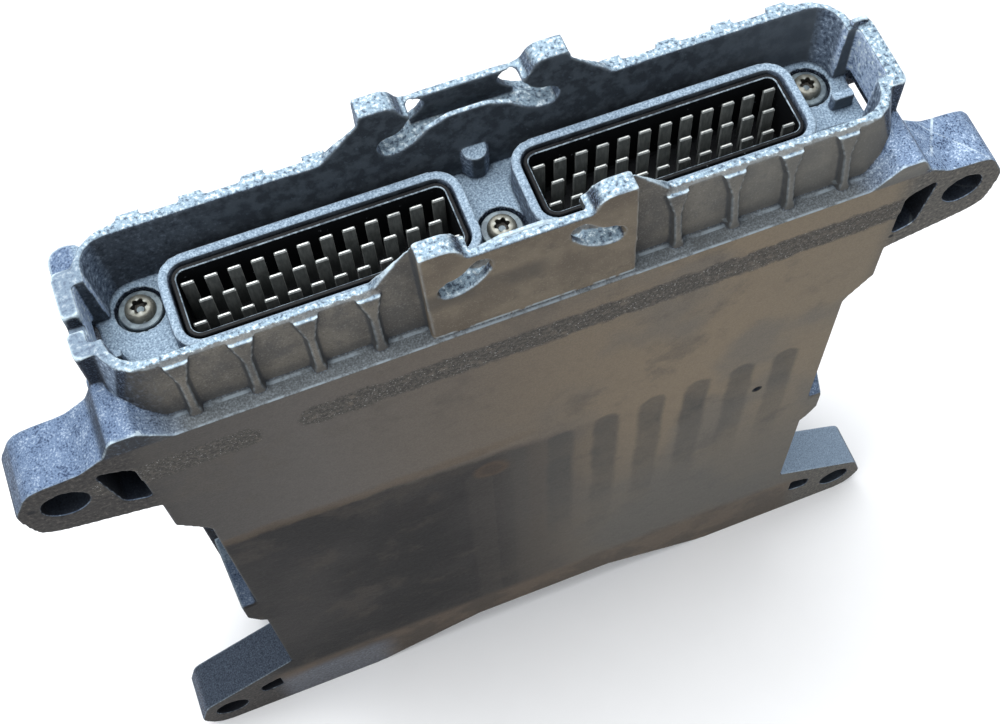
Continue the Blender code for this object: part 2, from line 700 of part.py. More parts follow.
def end_openings(housing):
    """Recess inside each end wall, the drain below it, and the notch across the left end."""
    reach = END_BLOCK_HALF + CLEAR
    inside = BAY_INNER_FOOT_HALF[0] - 0.004
    for side in (1, -1):
        low, high = sorted((side * inside, side * END_RECESS_HALF))
        recess = block("end_recess", (low, END_RECESS_FRONT, DECK_TOP),
                       (high, END_RECESS_REAR, RIM_TOP + 2 * CLEAR))
        low, high = sorted((side * (END_RECESS_HALF - FIT), side * reach))
        drain = block("drain", (low, DRAIN_FRONT, DECK_UNDERSIDE - CLEAR),
                      (high, END_RECESS_REAR - FIT, DECK_TOP + DRAIN_HEIGHT))
        cut(housing, recess, drain)
    return cut(housing, block("notch", (-reach, NOTCH_FRONT, RIM_TOP - NOTCH_DEPTH),
                              (-inside, NOTCH_REAR, RIM_TOP + CLEAR)))


def collars(housing):
    for side in (-1, 1):
        centre = (side * CONNECTOR_X, CONNECTOR_Y)
        ring = prism("collar", [rectangle(centre, COLLAR_SIZE, COLLAR_CORNER)],
                     (DECK_TOP - EMBED, COLLAR_TOP), "xy")
        fuse(housing, ring)
    return housing


def bay_details(housing):
    post_base = (0.0, BAY_Y + BAY_INNER_FOOT_HALF[1] + 0.0002, DECK_TOP - EMBED)
    post = cylinder("wall_post", post_base, "z", 0.0029, 0.0085, 12)
    right_peg = block("key_peg", (0.0801, 0.0222, DECK_TOP - EMBED),
                      (0.0852, 0.0242, DECK_TOP + 0.0040))
    left_peg = block("small_peg", (-0.0853, 0.0208, DECK_TOP - EMBED),
                     (-0.0838, 0.0229, DECK_TOP + 0.0018))
    return fuse(housing, post, right_peg, left_peg)


# Housing: inside, holes and pockets

SHELL_SIZE = tuple(size - 2 * (COLLAR_WALL + SHELL_GAP) for size in COLLAR_SIZE)
SHELL_CORNER = COLLAR_CORNER - COLLAR_WALL - SHELL_GAP
HEADER_FLANGE_TOP = DECK_UNDERSIDE - SEAL_THICKNESS - 2 * FIT
BRACKET_TOP = HEADER_FLANGE_TOP - HEADER_FLANGE_THICKNESS - FIT
SHELL_TOP = COLLAR_TOP - SHELL_BELOW_COLLAR
SOCKET_FLOOR = SHELL_TOP - SOCKET_DEPTH
HEADER_BOTTOM = SOCKET_FLOOR - HEADER_BASE_HEIGHT
RECESS_FLOOR = (DECK_TOP + BAY_SCREW_HEAD_PROUD - BAY_SCREW_HEAD_HEIGHT - WASHER_THICKNESS - 2 * FIT)


def hollow_inside(housing):
    half, wide = WAIST_HALF - SIDE_WALL, SHOULDER_HALF - SIDE_WALL
    floor, shelf = FACE_BOTTOM + FLOOR_WALL, SHOULDER_BOTTOM + FLOOR_WALL
    main = [(-half, floor, CAVITY_CORNER), (half, floor, CAVITY_CORNER),
            (half, DECK_UNDERSIDE, 0.0), (-half, DECK_UNDERSIDE, 0.0)]
    top = [(-wide, shelf), (wide, shelf), (wide, DECK_UNDERSIDE), (-wide, DECK_UNDERSIDE)]
    top_rear = BAY_SCREW_SPOTS["right"][1] + SCREW_BOSS_RADIUS + 0.0008
    return cut(housing, prism("cavity", [rounded(main, 3)], (FRONT_WALL, SEAT_Y + CLEAR), "xz"),
               prism("cavity_top", [top], (FRONT_WALL, top_rear), "xz"))


def inner_bosses(housing):
    for spot in BAY_SCREW_SPOTS.values():
        base = (*spot, BRACKET_TOP + FIT)
        fuse(housing, cylinder("screw_boss", base, "z", SCREW_BOSS_RADIUS,
                               DECK_UNDERSIDE + EMBED - base[2], 12))
    for x, z in board_screw_spots():
        base = (x, FRONT_WALL - EMBED, z)
        post = cylinder("board_post", base, "y", BOARD_POST_RADIUS, BOARD_Y - FIT - base[1], 10)
        hole = cylinder("post_hole", (x, FRONT_WALL + EMBED, z), "y", BOARD_SCREW_SHANK + FIT,
                        BOARD_Y, 6)
        fuse(housing, cut(post, hole))
    pedestal = block("pedestal", (-PEDESTAL_HALF, FRONT_WALL - EMBED, PEDESTAL_SPAN[0]),
                     (PEDESTAL_HALF, PEDESTAL_Y, PEDESTAL_SPAN[1]))
    return fuse(housing, pedestal)


def board_screw_spots():
    return [(side * BOARD_SCREW_X, z) for side in (-1, 1) for z in BOARD_SCREW_HEIGHTS]


def cover_screw_spots():
    """Screw centres on the flange: both long sides, then top and bottom middle."""
    edge = FLANGE_HALF - COVER_SCREW_EDGE
    low, high = COVER_SCREW_EDGE + 0.008, COVER_TOP - COVER_SCREW_EDGE - 0.004
    step = (high - low) / (COVER_SCREW_ROWS - 1)
    sides = [(side * edge, low + step * row) for side in (-1, 1) for row in range(COVER_SCREW_ROWS)]
    return sides + [(0.0, FACE_BOTTOM - 0.0050)]


def deck_openings(housing):
    opening = tuple(size - 2 * COLLAR_WALL for size in COLLAR_SIZE)
    for side in (-1, 1):
        centre = (side * CONNECTOR_X, CONNECTOR_Y)
        outline = rectangle(centre, opening, COLLAR_CORNER - COLLAR_WALL)
        cut(housing, prism("connector_opening", [outline],
                           (DECK_UNDERSIDE - 0.0015, COLLAR_TOP + CLEAR), "xy"))
    for spot in BAY_SCREW_SPOTS.values():
        recess = cylinder("screw_recess", (*spot, RECESS_FLOOR), "z",
                          WASHER_RADIUS + RECESS_CLEARANCE, DECK_TOP + CLEAR - RECESS_FLOOR, 16)
        hole = cylinder("screw_hole", (*spot, BRACKET_TOP - CLEAR), "z",
                        BAY_SCREW_SHANK + FIT, DECK_TOP + CLEAR - BRACKET_TOP, 8)
        cut(housing, recess, hole)
    return housing


def lug_cuts(housing):
    for side in (-1, 1):
        for z in (LUG_LOW_Z, LUG_HIGH_Z):
            cut(housing, cylinder("lug_hole", (side * LUG_HOLE_X, -CLEAR, z), "y",
                                  LUG_HOLE_RADIUS, LUG_DEPTH + 2 * CLEAR, 20))
    x, z = LUG_HOLE_X, LUG_HIGH_Z
    kidney = rounded([(x - 0.0160, z - 0.0105, 0.0), (x - 0.0105, z - 0.0085, 0.0025),
                      (x - 0.0080, z + 0.0080, 0.0010), (x - 0.0155, z + 0.0050, 0.0030)], 2)
    low = LUG_LOW_Z
    small = rounded([(x - 0.0172, low + 0.0035, 0.0), (x - 0.0108, low + 0.0025, 0.0015),
                     (x - 0.0108, low + 0.0085, 0.0015), (x - 0.0172, low + 0.0110, 0.0)], 2)
    span = (-CLEAR, LUG_POCKET_DEPTH)
    face_hole = cylinder("face_hole", (FACE_HOLE[0], -CLEAR, FACE_HOLE[1]), "y",
                         0.0010, CLEAR + 0.0020, 8)
    return cut(housing, face_hole, *sided_prism("upper_pocket", kidney, span),
               *sided_prism("lower_pocket", small, span))


def screw_threads(housing):
    depth = COVER_SCREW_LENGTH - COVER_THICKNESS + 0.0040
    for x, z in cover_screw_spots():
        cut(housing, cylinder("flange_hole", (x, SEAT_Y - depth, z), "y",
                              COVER_SCREW_SHANK + FIT, depth + CLEAR, 8))
    return housing


def build_housing():
    housing = housing_shell()
    front_hooks, front_openings = hook_wall("front")
    rear_hooks, rear_openings = hook_wall("rear")
    fuse(housing, bay_wall(), front_hooks, rear_hooks, *ribs())
    cut(housing, *front_openings, *rear_openings)
    end_blocks(housing)
    collars(housing)
    bay_details(housing)
    hollow_inside(housing)
    inner_bosses(housing)
    deck_openings(housing)
    end_openings(housing)
    lug_cuts(housing)
    screw_threads(housing)
    return finish_part(housing, "housing", "cast_aluminium")


# Rear cover, its gasket and screws

def gasket_outline(inset):
    low = (-FLANGE_HALF + inset, inset)
    high = (FLANGE_HALF - inset, COVER_TOP - inset)
    return span_rectangle(low, high, FLANGE_CORNER - inset / 2, 3)


def build_cover_gasket():
    floor = FACE_BOTTOM + FLOOR_WALL
    half = WAIST_HALF - SIDE_WALL + 0.0010
    inner = span_rectangle((-half, floor - 0.0010), (half, COVER_TOP - GASKET_WIDTH),
                           CAVITY_CORNER, 2)
    front = SEAT_Y + FIT
    outlines = [gasket_outline(COVER_MARGIN), inner]
    ring = prism("gasket", outlines, (front, front + GASKET_THICKNESS), "xz")
    for x, z in cover_screw_spots():
        cut(ring, cylinder("gasket_hole", (x, front - CLEAR, z), "y",
                           COVER_SCREW_SHANK + FIT, 2 * CLEAR, 6))
    return finish_part(ring, "cover_gasket", "silicone")


def build_rear_cover():
    outline = gasket_outline(COVER_MARGIN)
    cover = prism("cover", [outline], (DEPTH - COVER_THICKNESS, DEPTH), "xz")
    low, high = COVER_PANEL_MARGIN, COVER_TOP - COVER_PANEL_MARGIN
    height = (high - low - COVER_PANEL_RIB * (COVER_PANEL_ROWS - 1)) / COVER_PANEL_ROWS
    half = FLANGE_HALF - COVER_PANEL_MARGIN
    for row in range(COVER_PANEL_ROWS):
        z = low + row * (height + COVER_PANEL_RIB)
        panel = span_rectangle((-half, z), (half, z + height), 0.005, 2)
        cut(cover, prism("cover_panel", [panel], (DEPTH - COVER_PANEL_DEPTH, DEPTH + CLEAR), "xz"))
    for x, z in cover_screw_spots():
        hole = cylinder("cover_hole", (x, DEPTH - COVER_THICKNESS - CLEAR, z), "y",
                        COVER_SCREW_SHANK + FIT, COVER_THICKNESS + 2 * CLEAR, 8)
        sink = cylinder("cover_sink", (x, DEPTH - COVER_SCREW_HEAD_HEIGHT - FIT, z), "y",
                        COVER_SCREW_HEAD + 2 * FIT, COVER_SCREW_HEAD_HEIGHT + CLEAR, 10)
        cut(cover, hole, sink)
    return finish_part(cover, "rear_cover", "cast_aluminium")


def pan_screw(name, top, axis, head, head_height, shank, length, segments):
    """Pan-head screw with a six-sided drive: top of the head at top, shank against the axis."""
    end = -head_height - length
    profile = [(0.0, 0.0), (head * 0.68, 0.0), (head, -head_height * 0.55), (head, -head_height),
               (shank, -head_height), (shank, end), (0.0, end)]
    screw = turned(name, profile, (0, 0, 0), "z", segments)
    place = Matrix.Translation(top) @ AXIS_TURN[axis]
    screw.matrix_local = place
    corners = []
    for corner in range(6):
        angle = math.pi * corner / 3
        corners.append((head * 0.48 * math.cos(angle), head * 0.48 * math.sin(angle)))
    drive = prism(name + "_drive", [corners], (0.0, head_height * 0.55 + CLEAR), "xy")
    drive.matrix_local = place @ Matrix.Translation((0, 0, -head_height * 0.55))
    return finish_part(cut(screw, drive), name, "plated_steel")


def build_cover_screws():
    for number, (x, z) in enumerate(cover_screw_spots(), start=1):
        pan_screw(f"cover_screw_{number}", (x, DEPTH, z), "y",
                  COVER_SCREW_HEAD, COVER_SCREW_HEAD_HEIGHT, COVER_SCREW_SHANK,
                  COVER_SCREW_LENGTH - COVER_SCREW_HEAD_HEIGHT, 8)


# Connector headers, their seals and bracket

def pin_rows():
    """Row offsets in Y with their pin offsets in X: long, short and long row."""
    rows = []
    for row, count in ((-1, LONG_ROW), (0, LONG_ROW - 1), (1, LONG_ROW)):
        offsets = [(number - (count - 1) / 2) * PIN_PITCH for number in range(count)]
        rows.append((row, offsets))
    return rows


def header_pins(centre_x):
    """All blades above the socket floor and all bent tails below the header, in one mesh."""
    blades = bmesh.new()
    half, root = PIN_WIDTH / 2, SOCKET_FLOOR - EMBED
    tail_end = BOARD_Y + BOARD_THICKNESS + FIT
    for row, offsets in pin_rows():
        y = CONNECTOR_Y + row * ROW_PITCH
        bend = HEADER_BOTTOM - TAIL_STEP * (row + 2)
        blade = [(-half, root), (half, root), (half, PIN_TIP), (-half, PIN_TIP)]
        tail = [(y - TAIL_THICKNESS / 2, HEADER_BOTTOM + EMBED), (y - TAIL_THICKNESS / 2, bend),
                (tail_end, bend), (tail_end, bend - TAIL_THICKNESS),
                (y + TAIL_THICKNESS / 2, bend - TAIL_THICKNESS),
                (y + TAIL_THICKNESS / 2, HEADER_BOTTOM + EMBED)]
        for offset in offsets:
            x = centre_x + offset
            extrude_loop(blades, [(x + u, y - PIN_THICKNESS / 2, z) for u, z in blade],
                         (0, PIN_THICKNESS, 0))
            extrude_loop(blades, [(x - TAIL_WIDTH / 2, v, z) for v, z in tail], (TAIL_WIDTH, 0, 0))
    bmesh.ops.recalc_face_normals(blades, faces=blades.faces)
    mesh = bpy.data.meshes.new("pins")
    blades.to_mesh(mesh)
    blades.free()
    return add_object("pins", mesh)


def extrude_loop(cage, corners, offset):
    face = cage.faces.new([cage.verts.new(corner) for corner in corners])
    grown = bmesh.ops.extrude_face_region(cage, geom=[face], use_keep_orig=True)
    moved = [item for item in grown["geom"] if isinstance(item, bmesh.types.BMVert)]
    bmesh.ops.translate(cage, verts=moved, vec=offset)


def build_header(side, name):
    centre = (side * CONNECTOR_X, CONNECTOR_Y)
    header = prism("header_" + name, [rectangle(centre, SHELL_SIZE, SHELL_CORNER)],
                   (HEADER_BOTTOM, SHELL_TOP), "xy")
    flange = prism("header_flange", [rectangle(centre, HEADER_FLANGE, 0.002, 2)],
                   (HEADER_FLANGE_TOP - HEADER_FLANGE_THICKNESS, HEADER_FLANGE_TOP), "xy")
    cavity_size = tuple(size - 2 * SHELL_WALL for size in SHELL_SIZE)
    socket = prism("header_socket", [rectangle(centre, cavity_size, SHELL_CORNER - SHELL_WALL)],
                   (SOCKET_FLOOR, SHELL_TOP + CLEAR), "xy")
    fuse(header, flange)
    cut(header, socket)
    fuse(header, header_pins(centre[0]))
    finish_part(header, f"connector_header_{name}", "black_plastic")


def build_header_seal(side, name):
    centre = (side * CONNECTOR_X, CONNECTOR_Y)
    inner = tuple(size - 2 * SEAL_WIDTH for size in SEAL_SIZE)
    bottom = HEADER_FLANGE_TOP + FIT
    seal = prism("seal", [rectangle(centre, SEAL_SIZE, 0.002, 2), rectangle(centre, inner, 0.003, 2)],
                 (bottom, bottom + SEAL_THICKNESS), "xy")
    finish_part(seal, f"header_seal_{name}", "silicone")


def build_header_bracket():
    """Steel plate that clamps both headers up against the deck."""
    front = CONNECTOR_Y - HEADER_FLANGE[1] / 2 + 0.001
    rear = BAY_SCREW_SPOTS["right"][1] + BRACKET_NUT_RADIUS + 0.0005
    outline = span_rectangle((-BRACKET_HALF, front), (BRACKET_HALF, rear), 0.002, 2)
    holes = []
    for side in (-1, 1):
        size = tuple(length + 4 * FIT for length in SHELL_SIZE)
        holes.append(rectangle((side * CONNECTOR_X, CONNECTOR_Y), size, SHELL_CORNER, 2))
    bottom = BRACKET_TOP - BRACKET_THICKNESS
    plate = prism("bracket", [outline, *holes], (bottom, BRACKET_TOP), "xy")
    for spot in BAY_SCREW_SPOTS.values():
        nut = cylinder("bracket_nut", (*spot, bottom - BRACKET_NUT_HEIGHT), "z",
                       BRACKET_NUT_RADIUS, BRACKET_NUT_HEIGHT + EMBED, 8)
        fuse(plate, nut)
    for spot in BAY_SCREW_SPOTS.values():
        cut(plate, cylinder("bracket_hole", (*spot, bottom - BRACKET_NUT_HEIGHT - CLEAR), "z",
                            BAY_SCREW_SHANK + FIT, BRACKET_NUT_HEIGHT + 3 * CLEAR, 8))
    finish_part(plate, "header_bracket", "sheet_steel")


def build_bay_screws():
    head_top = DECK_TOP + BAY_SCREW_HEAD_PROUD
    head_bottom = head_top - BAY_SCREW_HEAD_HEIGHT
    length = head_bottom - (BRACKET_TOP - BRACKET_THICKNESS - BRACKET_NUT_HEIGHT) - 0.0005
    for name, spot in BAY_SCREW_SPOTS.items():
        pan_screw(f"bay_screw_{name}", (*spot, head_top), "z",
                  BAY_SCREW_HEAD, BAY_SCREW_HEAD_HEIGHT, BAY_SCREW_SHANK, length, 12)
        base = (*spot, head_bottom - FIT - WASHER_THICKNESS)
        washer = cylinder("washer", base, "z", WASHER_RADIUS, WASHER_THICKNESS, 16)
        cut(washer, cylinder("washer_hole", (*spot, base[2] - CLEAR), "z",
                             BAY_SCREW_SHANK + FIT, 3 * CLEAR, 8))
        finish_part(washer, f"bay_washer_{name}", "plated_steel")


# Circuit board and what it carries

def build_circuit_board():
    outline = span_rectangle((-BOARD_HALF, BOARD_BOTTOM), (BOARD_HALF, BOARD_TOP), 0.003, 2)
    board = prism("board", [outline], (BOARD_Y, BOARD_Y + BOARD_THICKNESS), "xz")
    for x, z in board_screw_spots():
        cut(board, cylinder("board_hole", (x, BOARD_Y - CLEAR, z), "y",
                            BOARD_SCREW_SHANK + FIT, 3 * CLEAR, 6))
    finish_part(board, "circuit_board", "board")
    head_bottom = BOARD_Y + BOARD_THICKNESS + FIT
    for number, (x, z) in enumerate(board_screw_spots(), start=1):
        pan_screw(f"board_screw_{number}", (x, head_bottom + BOARD_SCREW_HEAD_HEIGHT, z), "y",
                  BOARD_SCREW_HEAD, BOARD_SCREW_HEAD_HEIGHT, BOARD_SCREW_SHANK,
                  BOARD_SCREW_LENGTH, 6)


COMPONENT_Y = BOARD_Y + BOARD_THICKNESS + FIT


def chip(name, spec, finish="chip", shift=0.0):
    """Moulded package with a bevelled edge on the rear side of the board."""
    x, z, width, height, thickness = spec
    x, z = x + shift, BOARD_BOTTOM + z
    body = block(name, (x - width / 2, COMPONENT_Y, z - height / 2),
                 (x + width / 2, COMPONENT_Y + thickness, z + height / 2))
    edge = body.modifiers.new("edge", "BEVEL")
    edge.width = min(thickness, width, height) * 0.16
    edge.segments = 1
    finish_part(body, name, finish, smooth=False)


def build_capacitor(name, x, z):
    radius, height = CAPACITOR_RADIUS, CAPACITOR_HEIGHT
    profile = [(0.0, height), (radius * 0.88, height), (radius, height - radius * 0.12),
               (radius, height * 0.20), (radius * 0.90, height * 0.16), (radius, height * 0.12),
               (radius, 0.0), (0.0, 0.0)]
    can = turned(name, profile, (x, COMPONENT_Y, BOARD_BOTTOM + z), "y", 12)
    finish_part(can, name, "can")


def build_coil():
    top, rim = COIL_HEIGHT, COIL_HEIGHT * 0.15
    profile = [(0.0, top), (COIL_RADIUS, top), (COIL_RADIUS, top - rim),
               (COIL_WINDING, top - rim * 1.2), (COIL_WINDING, rim * 1.2), (COIL_RADIUS, rim),
               (COIL_RADIUS, 0.0), (0.0, 0.0)]
    x, z = COIL_SPOT
    coil = turned("boost_coil", profile, (x, COMPONENT_Y, BOARD_BOTTOM + z), "y", 16)
    finish_part(coil, "boost_coil", "coil")


def build_pressure_sensor():
    """Flat package with a hollow port for the intake pressure."""
    x, z, half = SENSOR_SPOT[0], BOARD_BOTTOM + SENSOR_SPOT[1], SENSOR_WIDTH / 2
    top = COMPONENT_Y + SENSOR_THICKNESS
    body = block("pressure_sensor", (x - half, COMPONENT_Y, z - half), (x + half, top, z + half))
    port = cylinder("sensor_port", (x, top - EMBED, z), "y", SENSOR_PORT_RADIUS,
                    SENSOR_PORT_REACH + EMBED, 12)
    bore = cylinder("sensor_bore", (x, top - 2 * EMBED, z), "y", SENSOR_PORT_RADIUS / 2,
                    SENSOR_PORT_REACH + CLEAR, 8)
    finish_part(cut(fuse(body, port), bore), "pressure_sensor", "black_plastic", smooth=False)


def build_thermal_pad():
    pad = block("pad", (-PEDESTAL_HALF, PEDESTAL_Y + FIT, PEDESTAL_SPAN[0]),
                (PEDESTAL_HALF, BOARD_Y - FIT, PEDESTAL_SPAN[1]))
    finish_part(pad, "thermal_pad", "pad", smooth=False)


def build_components():
    chip("processor", PROCESSOR)
    chip("memory_chip", MEMORY_CHIP)
    chip("crystal", CRYSTAL, "can")
    for number in range(DRIVER_COUNT):
        chip(f"driver_chip_{number + 1}", DRIVER_CHIP, shift=DRIVER_PITCH * number)
    x, z = CAPACITOR_SPOT
    for number in range(CAPACITOR_COUNT):
        build_capacitor(f"capacitor_{number + 1}", x, z + CAPACITOR_PITCH * number)
    build_coil()
    build_pressure_sensor()
    build_thermal_pad()


build_housing()
build_cover_gasket()
build_rear_cover()
build_cover_screws()
for connector_side, connector_name in ((-1, "left"), (1, "right")):
    build_header(connector_side, connector_name)
    build_header_seal(connector_side, connector_name)
build_header_bracket()
build_bay_screws()
build_circuit_board()
build_components()
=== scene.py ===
"""Looks of the engine control unit: a softened casting, separate blades, star-drive screws,
procedural finishes, a pale floor, studio light and the camera.
"""
import json
import math

import bmesh
import bpy
from mathutils import Matrix, Vector


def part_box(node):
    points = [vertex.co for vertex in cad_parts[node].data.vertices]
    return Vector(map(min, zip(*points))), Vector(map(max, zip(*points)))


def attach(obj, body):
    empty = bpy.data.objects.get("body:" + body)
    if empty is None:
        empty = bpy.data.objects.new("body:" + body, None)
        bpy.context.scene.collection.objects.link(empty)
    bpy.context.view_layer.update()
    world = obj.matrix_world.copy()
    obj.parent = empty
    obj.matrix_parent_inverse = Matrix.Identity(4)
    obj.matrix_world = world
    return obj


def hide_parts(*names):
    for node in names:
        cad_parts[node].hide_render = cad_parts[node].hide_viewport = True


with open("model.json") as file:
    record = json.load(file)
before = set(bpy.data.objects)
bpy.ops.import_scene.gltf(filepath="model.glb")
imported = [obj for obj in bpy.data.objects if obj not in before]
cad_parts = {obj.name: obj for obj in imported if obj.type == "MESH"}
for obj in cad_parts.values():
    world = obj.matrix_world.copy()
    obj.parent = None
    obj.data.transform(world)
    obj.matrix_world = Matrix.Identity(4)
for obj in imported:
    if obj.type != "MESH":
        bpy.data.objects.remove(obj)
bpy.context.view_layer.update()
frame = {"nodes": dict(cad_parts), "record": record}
NODES = frame["nodes"]

# Sizes that repeat the part's own, in metres and in the row's frame
DECK_TOP = 0.204
DECK_THICKNESS = 0.0045
COLLAR_TOP = DECK_TOP + 0.0085
CONNECTOR_X = 0.0390
CONNECTOR_Y = 0.0
SHELL_SIZE = (0.0611, 0.0176)
SHELL_CORNER = 0.0032
SHELL_WALL = 0.0011
SHELL_TOP = COLLAR_TOP - 0.0007
SOCKET_FLOOR = SHELL_TOP - 0.0155
HEADER_BOTTOM = SOCKET_FLOOR - 0.0060
HEADER_FLANGE = (0.0680, 0.0234)
HEADER_FLANGE_THICKNESS = 0.0025
SEAL_THICKNESS = 0.0006
SEAL_GAP = 0.0003
PIN_PITCH = 0.0050
PIN_WIDTH = 0.0028
PIN_THICKNESS = 0.0008
PIN_TIP = DECK_TOP + 0.0070
TAIL_WIDTH = 0.0010
TAIL_THICKNESS = 0.0006
TAIL_STEP = 0.0033
TAIL_END = -0.0121
EMBED = 0.0006
SCREW_SPOTS = {"left": (-0.0777, 0.0068), "middle": (0.0, -0.0026), "right": (0.0777, 0.0068)}

# Sizes of the pieces that only the scene has
LIP_BEVEL = 0.00022
FLOOR_BEVEL = 0.0006
FLANGE_CORNER = 0.002
FLANGE_OPENING_CORNER = 0.003
FLANGE_OVERLAP = 0.0002
BLADE_CHAMFER = 0.00030
BLADE_BEVEL = 0.00024
BLADE_BROW = 0.00006
BLADE_CORNER = 0.00012
SCREW_HEAD_RADIUS = 0.00335
SCREW_HEAD_HEIGHT = 0.0026
SCREW_SHANK_RADIUS = 0.0020
SCREW_SIDES = 48
WASHER_SIDES = 64
WASHER_OUTER = 0.0047
WASHER_INNER = 0.0022
WASHER_BEVEL = 0.0002
WASHER_DROP = 0.0004


# Mesh helpers

def new_piece(name, cage, materials, smooth=True):
    """Object from a bmesh, linked to the scene; the cage is freed."""
    bmesh.ops.recalc_face_normals(cage, faces=cage.faces)
    mesh = bpy.data.meshes.new(name)
    cage.to_mesh(mesh)
    cage.free()
    piece = bpy.data.objects.new(name, mesh)
    bpy.context.scene.collection.objects.link(piece)
    for material in materials:
        mesh.materials.append(material)
    if smooth:
        mesh.shade_smooth()
        mesh.set_sharp_from_angle(angle=math.radians(40))
    return piece


def evaluated_copy(source):
    graph = bpy.context.evaluated_depsgraph_get()
    return bpy.data.meshes.new_from_object(source.evaluated_get(graph))


def rounded_rectangle(centre, size, radius, steps=8):
    half_u, half_v = size[0] / 2 - radius, size[1] / 2 - radius
    points = []
    for quarter, (side_u, side_v) in enumerate(((1, 1), (-1, 1), (-1, -1), (1, -1))):
        for step in range(steps + 1):
            angle = math.pi / 2 * (quarter + step / steps)
            points.append((centre[0] + side_u * half_u + radius * math.cos(angle),
                           centre[1] + side_v * half_v + radius * math.sin(angle)))
    return points


def circle(centre, radius, count):
    return [(centre[0] + radius * math.cos(2 * math.pi * i / count),
             centre[1] + radius * math.sin(2 * math.pi * i / count)) for i in range(count)]


def ring(cage, outline, z):
    return [cage.verts.new((x, y, z)) for x, y in outline]


def bridge(cage, lower, upper):
    count = len(lower)
    return [cage.faces.new((lower[i], lower[(i + 1) % count], upper[(i + 1) % count], upper[i]))
            for i in range(count)]


# Node helpers

class Finish:
    """Node material built with short calls; values are numbers, colours or sockets."""

    def __init__(self, name):
        self.material = bpy.data.materials.new(name)
        self.material.use_nodes = True
        self.tree = self.material.node_tree
        self.shader = self.tree.nodes["Principled BSDF"]
        self.place = self.add("ShaderNodeTexCoord").outputs["Object"]
        self.geometry = self.add("ShaderNodeNewGeometry")
        split = self.add("ShaderNodeSeparateXYZ")
        self.join(self.place, split.inputs[0])
        self.x, self.y, self.z = split.outputs
        turn = self.add("ShaderNodeSeparateXYZ")
        self.join(self.geometry.outputs["Normal"], turn.inputs[0])
        self.nx, self.ny, self.nz = turn.outputs

    def add(self, kind, **settings):
        node = self.tree.nodes.new(kind)
        for key, value in settings.items():
            setattr(node, key, value)
        return node

    def join(self, source, target):
        if isinstance(source, bpy.types.NodeSocket):
            self.tree.links.new(source, target)
        elif target.type == "RGBA":
            target.default_value = (*source, 1.0)
        else:
            target.default_value = source

    def math(self, operation, *values):
        node = self.add("ShaderNodeMath", operation=operation)
        for value, target in zip(values, node.inputs):
            self.join(value, target)
        return node.outputs[0]

    def step(self, value, low, high):
        """0 below low, 1 above high, smooth between; low may be the larger."""
        node = self.add("ShaderNodeMapRange", interpolation_type="SMOOTHSTEP")
        self.join(value, node.inputs["Value"])
        node.inputs["From Min"].default_value = min(low, high)
        node.inputs["From Max"].default_value = max(low, high)
        if low > high:
            node.inputs["To Min"].default_value = 1.0
            node.inputs["To Max"].default_value = 0.0
        return node.outputs[0]

    def both(self, *masks):
        result = masks[0]
        for mask in masks[1:]:
            result = self.math("MULTIPLY", result, mask)
        return result

    def either(self, *masks):
        result = masks[0]
        for mask in masks[1:]:
            result = self.math("MAXIMUM", result, mask)
        return result

    def noise(self, scale, detail, roughness, stretch=(1, 1, 1), offset=0.0):
        place = self.add("ShaderNodeMapping")
        self.join(self.place, place.inputs["Vector"])
        place.inputs["Scale"].default_value = stretch
        place.inputs["Location"].default_value = (offset, offset * 0.7, offset * 1.3)
        node = self.add("ShaderNodeTexNoise")
        self.join(place.outputs[0], node.inputs["Vector"])
        node.inputs["Scale"].default_value = scale
        node.inputs["Detail"].default_value = detail
        node.inputs["Roughness"].default_value = roughness
        return node.outputs["Fac"]

    def ramp(self, value, span, stops):
        """Colour along a value; stops are (share of the span, colour)."""
        scaled = self.add("ShaderNodeMapRange")
        self.join(value, scaled.inputs["Value"])
        self.join(span[0], scaled.inputs["From Min"])
        self.join(span[1], scaled.inputs["From Max"])
        node = self.add("ShaderNodeValToRGB")
        self.join(scaled.outputs[0], node.inputs[0])
        marks = node.color_ramp.elements
        while len(marks) < len(stops):
            marks.new(0.5)
        for mark, (share, colour) in zip(marks, stops):
            mark.position = share
            mark.color = (*colour, 1.0)
        return node.outputs[0]

    def mix(self, share, first, second, blend="MIX"):
        node = self.add("ShaderNodeMix", data_type="RGBA", blend_type=blend)
        self.join(share, node.inputs[0])
        self.join(first, node.inputs[6])
        self.join(second, node.inputs[7])
        return node.outputs[2]

    def bump(self, height, depth, strength):
        node = self.add("ShaderNodeBump")
        node.inputs["Strength"].default_value = strength
        node.inputs["Distance"].default_value = depth
        self.join(height, node.inputs["Height"])
        return node.outputs[0]

    def set(self, **values):
        names = {"colour": "Base Color", "metal": "Metallic", "rough": "Roughness",
                 "normal": "Normal", "specular": "Specular IOR Level"}
        for key, value in values.items():
            self.join(value, self.shader.inputs[names[key]])
        return self.material


# Finish helpers. A mask is a product of soft steps. Each step names the place where it begins
# and the place where it is full, in metres: x to the right, y to the back, z up.

TONE_GAIN = 0.92
TONE_LIMIT = 0.90


def tone(red, green, blue):
    """Linear base colour for an 8-bit colour as it should look under this light."""
    linear = [((v / 255 + 0.055) / 1.055) ** 2.4 if v > 10 else v / 255 / 12.92
              for v in (red, green, blue)]
    return tuple(min(TONE_LIMIT, TONE_GAIN * v) for v in linear)


def distance(m, along, across):
    return m.math("SQRT", m.math("ADD", m.math("MULTIPLY", along, along),
                                 m.math("MULTIPLY", across, across)))


def offset(m, value, centre):
    return m.math("SUBTRACT", value, centre)


def size_of(m, value):
    return m.math("ABSOLUTE", value)


def beyond(m, value, centre, half):
    """How far a value lies further than half from the centre, or 0 within."""
    reach = m.math("SUBTRACT", size_of(m, offset(m, value, centre)), half)
    return m.math("MAXIMUM", reach, 0.0)


